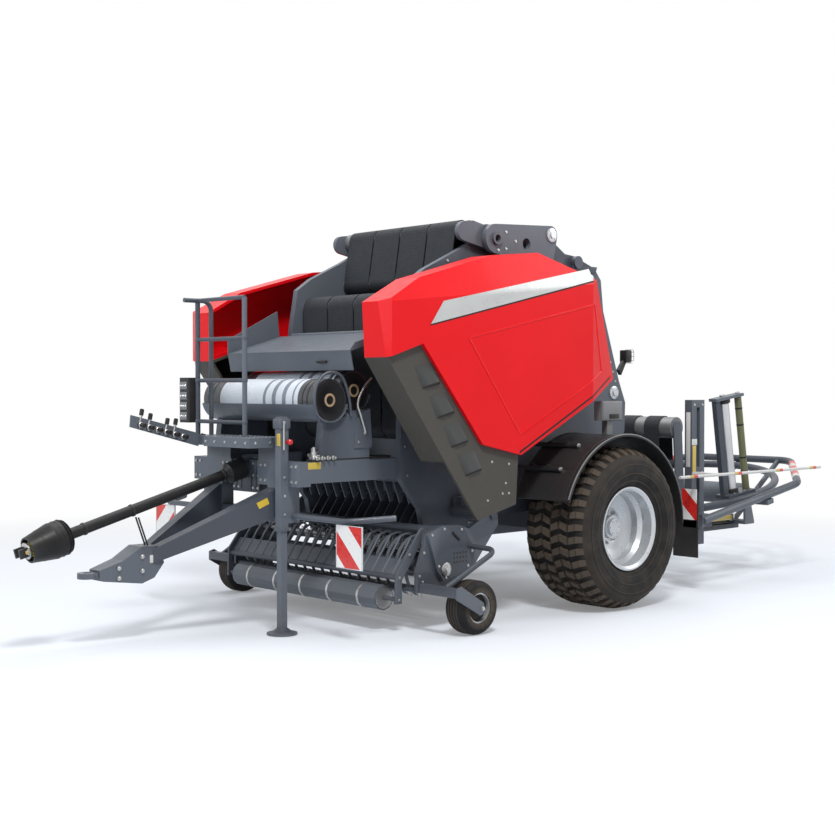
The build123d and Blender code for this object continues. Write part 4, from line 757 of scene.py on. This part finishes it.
for distance, radius in SHIELD_RIBS:
    steps = ((-0.004, radius - 0.006), (0, radius), (0.004, radius - 0.006))
    ribs.lathe(shaft_end - shaft_run * distance, shaft_run, steps, 40)
for distance in (0.12, 0.18, 0.90, 1.25):
    ribs.lathe(shaft_start + shaft_run * distance, shaft_run, rounded(0.036, 0.004, 0.010, 0.004), 28)

HEAD_X, HEAD_Y, HEAD_SLOPE = 3.05, 0.0865, 0.036  # the drawbar's head narrows by the slope in front of HEAD_X
LEG_SLOPE = 0.605  # how far the drawbar's leg spreads for each metre behind its head
head = steel("drawbar_bolts")
for sign in (1, -1):
    for x, z in ((3.237, 0.540), (3.237, 0.450), (3.40, 0.480), (3.40, 0.418)):
        y = HEAD_Y - (x - HEAD_X) * HEAD_SLOPE + 0.0002
        head.bolt((x, sign * y, z), (0, sign, 0), 0.014)
stay = Piece("shaft_stay", "black_plastic", "hose")
for y in (-0.016, 0.016):
    stay.rod((3.155, y, 0.590), (3.225, y, 0.781), 0.0055)
plate = Piece("head_plate", "white_paint")
plate.box((3.135, 3.185), (0.0825, 0.0840), (0.495, 0.545), 0.0006)
JACK_X, JACK_Y = 2.4253, 0.455
marks = Piece("yellow_plates", "white_paint", "yellow")
leg_reach = surface("drawbar", 1)
leg_plate = []
for x, z in ((2.529, 0.850), (2.462, 0.884), (2.448, 0.844), (2.512, 0.811)):
    y = leg_reach(x, z)
    if y is None:
        y = HEAD_Y + LEG_SLOPE * (HEAD_X - x)
    leg_plate.append(marks.mesh.verts.new(spot((x, y + 0.0015, z))))
marks.mesh.faces.new(leg_plate)
marks.box((2.219, 2.324), (0.6003, 0.6016), (1.072, 1.116), 0.0005)
marks.box((JACK_X + 0.0302, JACK_X + 0.0315), (JACK_Y - 0.012, JACK_Y + 0.026), (1.225, 1.305), 0.0005)

jack = steel("jack_crank")
jack.rod((JACK_X + 0.018, JACK_Y + 0.036, 1.378), (JACK_X + 0.018, JACK_Y + 0.053, 1.378), 0.009)
jack.rod((JACK_X + 0.018, JACK_Y + 0.048, 1.382), (JACK_X + 0.018, JACK_Y + 0.048, 1.200), 0.0058)
jack.bolts([(JACK_X, JACK_Y + 0.030, z) for z in (0.78, 0.90, 1.02)], (0, 1, 0), 0.009)
jack_head = Piece("jack_head", "blue_paint")
for half, z, bevel in ((0.042, (1.335, 1.400), 0.006), (0.036, (0.672, 0.70), 0.004)):
    jack_head.box((JACK_X - half, JACK_X + half), (JACK_Y - half, JACK_Y + half), z, bevel)
knob = Piece("jack_knob", "silver_paint", "red")
KNOB = ((-0.013, 0.010), (0.012, 0.010), (0.016, 0.018), (0.032, 0.018), (0.038, 0.012))
knob.lathe((JACK_X - 0.018, JACK_Y + 0.042, 1.25), (0, 1, 0), KNOB, 20)
foot = Piece("jack_foot", "blue_paint", body="jack_leg")
foot.lathe((JACK_X, JACK_Y, 0.0125), (0, 0, 1), ((0, 0.094), (0.010, 0.060), (0.026, 0.040), (0.03, 0.036)), 36)
foot.bolts([(JACK_X + x, JACK_Y + y, 0.012) for x, y in around(6, 0.078, 0.5)], (0, 0, 1), 0.007)

# ---- Front: platform, handrail, box, hose rack, gearbox ----
POST_Y = (-0.410, 0.140)  # the handrail's posts
step = steel("step_bolts")
step.bolts([(2.620, y, 1.243) for y in (-0.12, -0.02, 0.10, 0.22, 0.33)], (1, 0, 0), 0.009)
step.bolts([(x, 0.364, 1.243) for x in (2.34, 2.45, 2.57)], (0, 1, 0), 0.009)
step.bolts([(2.490 + x, y, 1.281) for y in POST_Y for x in (-0.034, 0.034)], (0, 0, 1), 0.007)
grip = Piece("step_grip", "blue_paint")
for i in range(9):
    for k in range(12):
        x, y = 2.335 + i * 0.033, -0.12 + k * 0.042
        grip.lathe((x, y, 1.2745), (0, 0, 1), ((0, 0.011), (0.004, 0.007)), 10)
for y in POST_Y:
    grip.box((2.445, 2.535), (y - 0.028, y + 0.028), (1.2750, 1.2815), 0.002)
for y in POST_Y:
    for z in (1.370, 1.650, 1.930):
        grip.lathe((2.490, y, z), (0, 0, 1), rounded(0.0185, 0.002, 0.012, 0.006), 20)

BUTTON_ROWS = (1.405, 1.475, 1.545, 1.615)
panel_box = Piece("control_panel", "grey_plastic")
for z in BUTTON_ROWS:
    panel_box.box((2.5555, 2.5615), (-0.530, -0.445), (z - 0.026, z + 0.026), 0.0015)
panel_box.box((2.480, 2.545), (-0.5475, -0.5445), (1.385, 1.645), 0.001)
lamps = Piece("control_lamps", "black_plastic", "lens")
for z in BUTTON_ROWS:
    for y in (-0.515, -0.487, -0.459):
        lamps.lathe((2.561, y, z), (1, 0, 0), ((0, 0.008), (0.004, 0.006)), 14)

RACK_Y = -0.350
COUPLING = ((0, 0.013), (0.006, 0.0205), (0.054, 0.0205), (0.060, 0.013))
couplings = steel("hose_couplings")
caps = Piece("coupling_caps", "black_plastic")
for i in range(6):
    x, z = 2.660 + 0.066 * i, 1.268 + 0.017 * i
    couplings.lathe((x, RACK_Y - 0.030, z), (0, 1, 0), COUPLING, 18)
    caps.lathe((x, RACK_Y + 0.030, z), (0, 1, 0), ((0, 0.017), (0.030, 0.017), (0.036, 0.012)), 18)
    if i in (1, 2, 4, 5):
        top = (x - 0.012, RACK_Y, z + 0.052 + 0.013 * (i % 2))
        couplings.rod((x, RACK_Y, z + 0.018), top, 0.010)
        caps.lathe(top, (-0.2, 0, 1), ((0, 0.015), (0.038, 0.015), (0.044, 0.009)), 16)

gear = Piece("gearbox_ribs", "blue_paint")
for y in (-0.11, -0.055, 0.055, 0.11):
    gear.box((2.378, 2.386), (y - 0.005, y + 0.005), (0.915, 1.10), 0.002)
gear_bolts = steel("gearbox_bolts")
ahead = (1, 0, 0)
cover = [(2.380, y, z) for y in (-0.135, -0.083, 0.083, 0.135) for z in (0.93, 1.015, 1.095)]
gear_bolts.bolts(cover, ahead, 0.009)
for sign in (1, -1):
    beam = [(2.395, sign * y, z) for y in (0.19, 0.24, 0.52, 0.57) for z in (0.99, 1.09)]
    gear_bolts.bolts(beam, ahead, 0.010)
    gear_bolts.bolts([(2.395, sign * 0.44, z) for z in (0.75, 0.80, 0.93)], ahead, 0.011)

SPOOL_Y = [0.290 + 0.058 * i for i in range(4)]
up, left = (0, 0, 1), (0, 1, 0)
valves = Piece("valve_spools", "aluminium", "steel")
for y in SPOOL_Y:
    valves.lathe((2.030, y, 1.145), ahead, ((0, 0.018), (0.020, 0.018), (0.026, 0.012), (0.046, 0.012)), 18)
    valves.bolt((1.920, y, 1.190), up, 0.009)
    valves.lathe((1.965, y, 1.2135), up, ((0, 0.016), (0.012, 0.016), (0.018, 0.008)), 16)
valves.tube(((1.90, 0.52, 1.16), (1.83, 0.55, 1.18), (1.76, 0.56, 1.215)), 0.006)
valves.box((2.095, 2.275), (0.540, 0.598), (1.1203, 1.166), 0.006)
for i in range(4):
    x = 2.117 + 0.045 * i
    stem = ((0, 0.019), (0.018, 0.019), (0.022, 0.012), (0.040 + 0.008 * (i % 2), 0.011))
    valves.lathe((x, 0.569, 1.166), up, stem, 16)
    valves.lathe((x, 0.598, 1.143), left, ((0, 0.016), (0.014, 0.016), (0.018, 0.009), (0.030, 0.009)), 16)
plumbing = Piece("fixed_pipes", "black_plastic", "hose")
for i, y in enumerate(SPOOL_Y):
    bend = ((1.90, y, 1.145), (1.86, y, 1.14), (1.80, y + 0.02, 1.13))
    plumbing.tube((*bend, (1.70, 0.555 - 0.02 * i, 1.132), (1.58, 0.560 - 0.02 * i, 1.132)), 0.0095)
for y in (0.545, 0.569, 0.593):
    plumbing.tube(((2.29, y, 1.128), (2.10, y, 1.130), (1.85, y, 1.130), (1.62, y, 1.130)), 0.009)

# ---- Boards, net rolls, lid ----
BOARD_X, BOARD_LOW, BOARD_HIGH = (2.3455, 2.3545), 0.4737, 0.7457
backs = Piece("board_frames", "silver_paint")
for sign in (1, -1):
    for y in (0.922, 1.168):
        backs.box(BOARD_X, (sign * y - 0.003, sign * y + 0.003), (BOARD_LOW, BOARD_HIGH), 0.001)
    for z in ((BOARD_LOW, BOARD_LOW + 0.005), (BOARD_HIGH - 0.005, BOARD_HIGH)):
        backs.box(BOARD_X, (sign * 0.920, sign * 1.170), z, 0.001)

core = Piece("roll_cores", "net_film", "core")
rings = Piece("roll_bands", "black_plastic")
CORE_END = ((0, 0.044), (0.0245, 0.044), (0.0255, 0.030), (0.012, 0.030))
for x, z, radius, half in ((2.160, 1.520, 0.140, 0.620), (1.888, 1.582, 0.132, 0.540)):
    face = [(d, radius * part) for d, part in ((-0.003, 0.93), (0.004, 0.90), (0.004, 0.62), (0.0005, 0.55))]
    for sign in (1, -1):
        core.lathe((x, sign * (half - 0.02), z), (0, sign, 0), CORE_END, 30)
        rings.lathe((x, sign * half, z), (0, sign, 0), face, 44)
        for y in (half - 0.06, half - 0.11):
            rings.lathe((x, sign * y, z), (0, sign, 0), rounded(radius + 0.0002, 0.0016, 0.008), 48)
bracket = Piece("roll_bracket", "blue_paint")
bracket.prism(((1.80, 1.461), (1.86, 1.445), (1.92, 1.385), (1.94, 1.20), (1.78, 1.20)), 0.6005, 0.6085)
ROLL_GUARD = (
    (2.235, 0.606, 1.385), (2.30, 0.640, 1.50), (2.285, 0.645, 1.62), (2.20, 0.645, 1.695),
    (2.08, 0.640, 1.68), (2.01, 0.630, 1.56), (1.97, 0.612, 1.42),
)
bracket.tube(ROLL_GUARD, 0.010)
lever = steel("roll_lever")
LEVER = ((1.845, 0.614, 1.30), (1.90, 0.628, 1.42), (1.925, 0.628, 1.50), (1.87, 0.626, 1.60))
lever.tube((*LEVER, (1.80, 0.622, 1.665)), 0.009)
lever.bolt((1.845, 0.6085, 1.30), left, 0.014)
lever.bolt((1.90, 0.6085, 1.24), left, 0.010)
handle = Piece("lid_handle", "black_plastic", body="net_lid")
handle.tube(((2.0415, 0.34, 1.775), (2.0405, 0.36, 1.772), (2.0405, 0.42, 1.772), (2.0415, 0.44, 1.775)), 0.008)

# ---- Chamber: roller ends and bolts ----
FRONT_ROLLS = (
    (1.345, 2.190), (1.330, 1.330), (0.960, 2.390), (0.835, 2.430), (0.900, 0.800), (0.640, 0.765),
    (0.380, 0.765),
)
GATE_ROLLS = ((-0.430, 2.430, 0.6405), (-0.730, 1.560, 0.6405), (-0.400, 0.860, 0.6405), (0.130, 2.735, 0.7405))
FRONT_EDGE = (
    (1.50, 1.00), (1.52, 1.20), (1.52, 1.42), (1.51, 1.64), (1.49, 1.86), (1.46, 2.08), (1.42, 2.28),
    (1.27, 2.41), (1.12, 2.49),
)
FRONT_END = ((0, 0.058), (0.010, 0.058), (0.013, 0.050), (0.013, 0.032), (0.026, 0.028))
GATE_END = ((0, 0.052), (0.010, 0.052), (0.013, 0.045), (0.013, 0.028), (0.024, 0.025))


def roller_end(housings, bolts, x, y, z, section, circle, size):
    """Bearing housing with four bolts on both sides of the machine."""
    for sign in (1, -1):
        housings.lathe((x, sign * y, z), (0, sign, 0), section, 30)
    bolts.side_bolts(y + 0.012, [(x + dx, z + dz) for dx, dz in around(4, circle, 0.5)], size)


bearings = Piece("chamber_bearings", "silver_paint")
bearing_bolts = steel("chamber_bolts")
for x, z in FRONT_ROLLS:
    roller_end(bearings, bearing_bolts, x, 0.6505, z, FRONT_END, 0.046, 0.007)
bearing_bolts.side_bolts(0.6505, FRONT_EDGE, 0.009)
gate_ends = Piece("gate_bearings", "silver_paint", body="tailgate")
gate_bolts = steel("gate_bolts", "tailgate")
for x, z, y in GATE_ROLLS:
    roller_end(gate_ends, gate_bolts, x, y, z, GATE_END, 0.041, 0.006)
gate_bolts.side_bolts(0.7402, ((0.62, 2.60), (0.62, 2.72), (0.70, 2.585), (0.52, 2.66)), 0.010)
gate_bolts.side_bolts(0.6402, [(-0.57 - 0.030 * i, 2.10 - 0.075 * i) for i in range(8)], 0.008)

# rear lamp on the tailgate with its wire guard
lamp_body = Piece("work_lamp", "black_plastic", body="tailgate")
lamp_body.box((-0.93, -0.86), (0.595, 0.665), (1.80, 1.90), 0.008)
lamp_body.prism(((-0.83, 1.70), (-0.80, 1.74), (-0.88, 1.84), (-0.905, 1.82)), 0.610, 0.6395)
lens = Piece("work_lamp_lens", "black_plastic", "lens", body="tailgate")
lens.box((-0.9345, -0.929), (0.602, 0.658), (1.808, 1.892), 0.002)
cage = steel("work_lamp_guard", "tailgate")
for z in (1.815, 1.85, 1.885):
    cage.tube(((-0.925, 0.592, z), (-0.965, 0.60, z), (-0.965, 0.66, z), (-0.925, 0.668, z)), 0.0028, 8, 4)
for y in (0.607, 0.630, 0.653):
    cage.tube(((-0.925, y, 1.797), (-0.967, y, 1.805), (-0.967, y, 1.895), (-0.925, y, 1.903)), 0.0028, 8, 4)

# ---- Pickup: tines and covers ----
REEL = Vector((1.530, 0, 0.400))
TINE_R = 0.0028
tines = Piece("reel_tines", "roller_steel", "steel", body="reel")
for x, z in around(5, 1.0):
    out, back = Vector((x, 0, z)), Vector((z, 0, -x))
    for i in range(18):
        root = REEL + Vector((0, -0.85 + 0.1 * i, 0)) + out * 0.150
        for dy in (-0.018, 0.018):
            base = root + Vector((0, dy, 0))
            places = (base, base + out * 0.030 + back * 0.008, base + out * 0.057 + back * 0.028)
            tines.tube(places, TINE_R, 6, 3)
        tines.lathe(root - Vector((0, 0.022, 0)), left, ((0, 0.0175), (0.044, 0.0175)), 10)
COVER_BOLTS = (
    (1.385, 0.655), (1.545, 0.668), (1.655, 0.634), (1.285, 0.505), (1.325, 0.408), (1.530, 0.345),
    (1.595, 0.425),
)
cover = steel("pickup_cover_bolts", "pickup")
cover_dark = Piece("pickup_cover_marks", "black_plastic", body="pickup")
cover.side_bolts(1.060, COVER_BOLTS, 0.009)
cover.side_bolts(1.030, ((1.712, 0.295), (1.712, 0.33), (1.74, 0.37), (1.70, 0.52)), 0.009)
cover.side_bolts(1.3825, ((1.510, 0.175),), 0.014)
REEL_CAP = ((0, 0.045), (0.008, 0.045), (0.012, 0.036), (0.014, 0.020), (0.026, 0.018))
for sign in (1, -1):
    cover.lathe((REEL.x, sign * 1.0605, REEL.z), (0, sign, 0), REEL_CAP, 28)
    cover_dark.tube([(x, sign * 1.0605, z) for x, z in ((1.470, 0.640), (1.440, 0.615), (1.408, 0.588))], 0.010)
    for i in range(3):
        for k in range(5):
            place = (1.340 + 0.028 * k, sign * 1.0602, 0.440 + 0.030 * i)
            cover_dark.lathe(place, (0, sign, 0), ((0, 0.0075), (0.0012, 0.0070)), 10)
ROLLER_X, ROLLER_Z = 1.848, 0.217
roller_bands = steel("press_roller_bands", "press_roller")
for sign in (1, -1):
    end = ((0, 0.074), (0.003, 0.074), (0.004, 0.066))
    roller_bands.lathe((ROLLER_X, sign * 0.8005, ROLLER_Z), (0, sign, 0), end, 36)
for y in (0.62, 0.30, 0, -0.30, -0.62):
    roller_bands.lathe((ROLLER_X, y, ROLLER_Z), left, rounded(0.0835, 0.003, 0.009), 48)
guard_bolts = steel("wind_guard_bolts", "wind_guard")
guard_bolts.side_bolts(0.9503, ((1.624, 0.640), (1.843, 0.362), (ROLLER_X, ROLLER_Z), (1.755, 0.505)), 0.010)
GAUGE_X, GAUGE_Y, GAUGE_R = 1.510, 1.278, 0.175
for side, sign in SIDES:
    out, outer = (0, sign, 0), GAUGE_Y + 0.0825
    hub = steel(f"gauge_hub_{side}", f"gauge_wheel_{side}")
    hub.lathe((GAUGE_X, sign * (outer - 0.021), GAUGE_R), out, ((0, 0.030), (0.010, 0.030), (0.014, 0.024)), 24)
    hub.bolts([(GAUGE_X + x, sign * (outer - 0.0702), GAUGE_R + z) for x, z in around(5, 0.058)], out, 0.009)
    treads = Piece(f"gauge_ribs_{side}", "tyre_rubber", body=f"gauge_wheel_{side}")
    for y in (-0.036, -0.012, 0.012, 0.036):
        treads.lathe((GAUGE_X, sign * GAUGE_Y + y, GAUGE_R), left, rounded(0.1735, 0.003, 0.007), 72)

# ---- Wrapper: columns, dispensers, hoop marks, lamps ----
strips = Piece("column_strips", "white_paint")
yellow = Piece("column_marks", "white_paint", "yellow")
column_bolts = steel("column_bolts")
for sign in (1, -1):
    strips.box((-1.350, -1.279), (sign * 1.0002, sign * 1.0012), (1.137, 1.185), 0.0003)
    strips.box((-1.2802, -1.2792), (sign * 0.945, sign * 0.985), (0.96, 1.40), 0.0003)
    yellow.box((-1.335, -1.290), (sign * 1.0002, sign * 1.0014), (0.897, 1.132), 0.0004)
    column_bolts.bolts([(-1.28, sign * 0.85, z) for z in (0.36, 0.42)], ahead, 0.010)
column_bolts.side_bolts(1.0, [(x, z) for z in (0.48, 0.55, 0.91, 1.46) for x in (-1.418, -1.312)], 0.010)

RING_TILT, DISPENSER_TURN = math.radians(9.5), math.radians(-10)
ring_x = Vector((math.cos(RING_TILT), 0, -math.sin(RING_TILT)))
ring_z = Vector((math.sin(RING_TILT), 0, math.cos(RING_TILT)))
ring_y = Vector((0, 1, 0))
ring_middle = Vector((-2.150, 0, 0.695))


def in_ring(x, y, z, turned=True):
    """Place given in the ring's plane, turned with the dispensers when asked."""
    if turned:
        cosine, sine = math.cos(DISPENSER_TURN), math.sin(DISPENSER_TURN)
        x, y = x * cosine - y * sine, x * sine + y * cosine
    return ring_middle + ring_x * x + ring_y * y + ring_z * z


FILM, STRETCH = (0.025, 0.935), (-0.130, 0.955)  # places of the left dispenser's rollers on the ring
film_caps = steel("film_caps", "wrap_ring")
film_dark = Piece("film_holders", "black_plastic", body="wrap_ring")
ROLLER_FITTINGS = [
    (film_dark, FILM, 0.058, ((0, 0.030), (0.0, 0.060), (0.026, 0.060), (0.034, 0.048)), 28),
    (film_dark, FILM, 0.812, ((0, 0.048), (0.008, 0.060), (0.036, 0.060)), 28),
    (film_caps, FILM, 0.8745, ((0, 0.026), (0.010, 0.026), (0.014, 0.018)), 22),
    (film_caps, STRETCH, 0.8745, ((0, 0.018), (0.010, 0.018), (0.014, 0.012)), 20),
]
for z in (0.20, 0.32, 0.60, 0.74):
    band = ((0, 0.0302), (0.003, 0.0318), (0.012, 0.0318), (0.015, 0.0302))
    ROLLER_FITTINGS.append((film_dark, STRETCH, z, band, 24))
for sign in (1, -1):
    for piece, (x, y), z, profile, sides in ROLLER_FITTINGS:
        piece.lathe(in_ring(sign * x, sign * y, z), ring_z, profile, sides)
    film_caps.bolts([in_ring(sign * x, sign * 1.005, 0.056) for x in (-0.06, 0.0, 0.06)], ring_z, 0.009)
HOOP_BANDS, HOOP_BAND_R = 6, 0.0342
sleeves = Piece("hoop_red", "white_paint", "red")
pale = Piece("hoop_white", "white_paint")
for sign in (1, -1):
    start, end = in_ring(-0.62, sign * 1.043, 0, False), in_ring(-1.18, sign * 0.658, 0, False)
    for i in range(HOOP_BANDS):
        a, b = start.lerp(end, i / HOOP_BANDS), start.lerp(end, (i + 1) / HOOP_BANDS)
        (sleeves if i % 2 else pale).rod(a, b, HOOP_BAND_R, 26)
BAR_Y, BAR_Z, BAR_MARK = 1.250, 0.910, 0.05  # guard bars, and the length of each coloured mark
bar_marks = Piece("guard_bar_marks", "white_paint", "yellow")
bar_red = Piece("guard_bar_red", "white_paint", "red")
for sign in (1, -1):
    for x in (-0.90, -1.50, -2.10, -2.62):
        ends = [(x - BAR_MARK * i, sign * BAR_Y, BAR_Z) for i in range(3)]
        bar_marks.rod(ends[0], ends[1], 0.0128)
        bar_red.rod(ends[1], ends[2], 0.0128)
ram = Piece("table_ram", "white_paint", "yellow")
rod_end = steel("ram_rod")
rear_hose = Piece("bed_pipes", "black_plastic", "hose")
marker = Piece("marker_lamps", "white_paint", "red")
marker_body = Piece("marker_housings", "black_plastic")
for sign in (1, -1):
    ram.rod((-2.20, sign * 0.500, 0.440), (-2.55, sign * 0.500, 0.440), 0.026, 22)
    rod_end.rod((-2.19, sign * 0.500, 0.440), (-2.06, sign * 0.500, 0.440), 0.013)
    rod_end.box((-2.09, -2.04), (sign * 0.462, sign * 0.520), (0.415, 0.465), 0.004)
    rod_end.box((-2.60, -2.54), (sign * 0.462, sign * 0.520), (0.410, 0.470), 0.004)
    for z in (0.372, 0.394):
        rear_hose.tube([(x, sign * 0.470, z) for x in (-1.46, -1.80, -2.30, -2.66)], 0.0095)
    marker_body.box((-1.060, -1.036), (sign * 1.095, sign * 1.225), (0.500, 0.5615), 0.004)
    marker.box((-1.0655, -1.0595), (sign * 1.100, sign * 1.160), (0.505, 0.5565), 0.002)
box_face = Piece("rear_box_face", "grey_plastic")
box_face.box((-0.232, -0.018), (1.1195, 1.1235), (1.363, 1.492), 0.003)
box_latch = Piece("rear_box_latch", "black_plastic")
box_latch.box((-0.195, -0.085), (1.1232, 1.1275), (1.372, 1.405), 0.002)

for piece in list(Piece.waiting):
    piece.done()
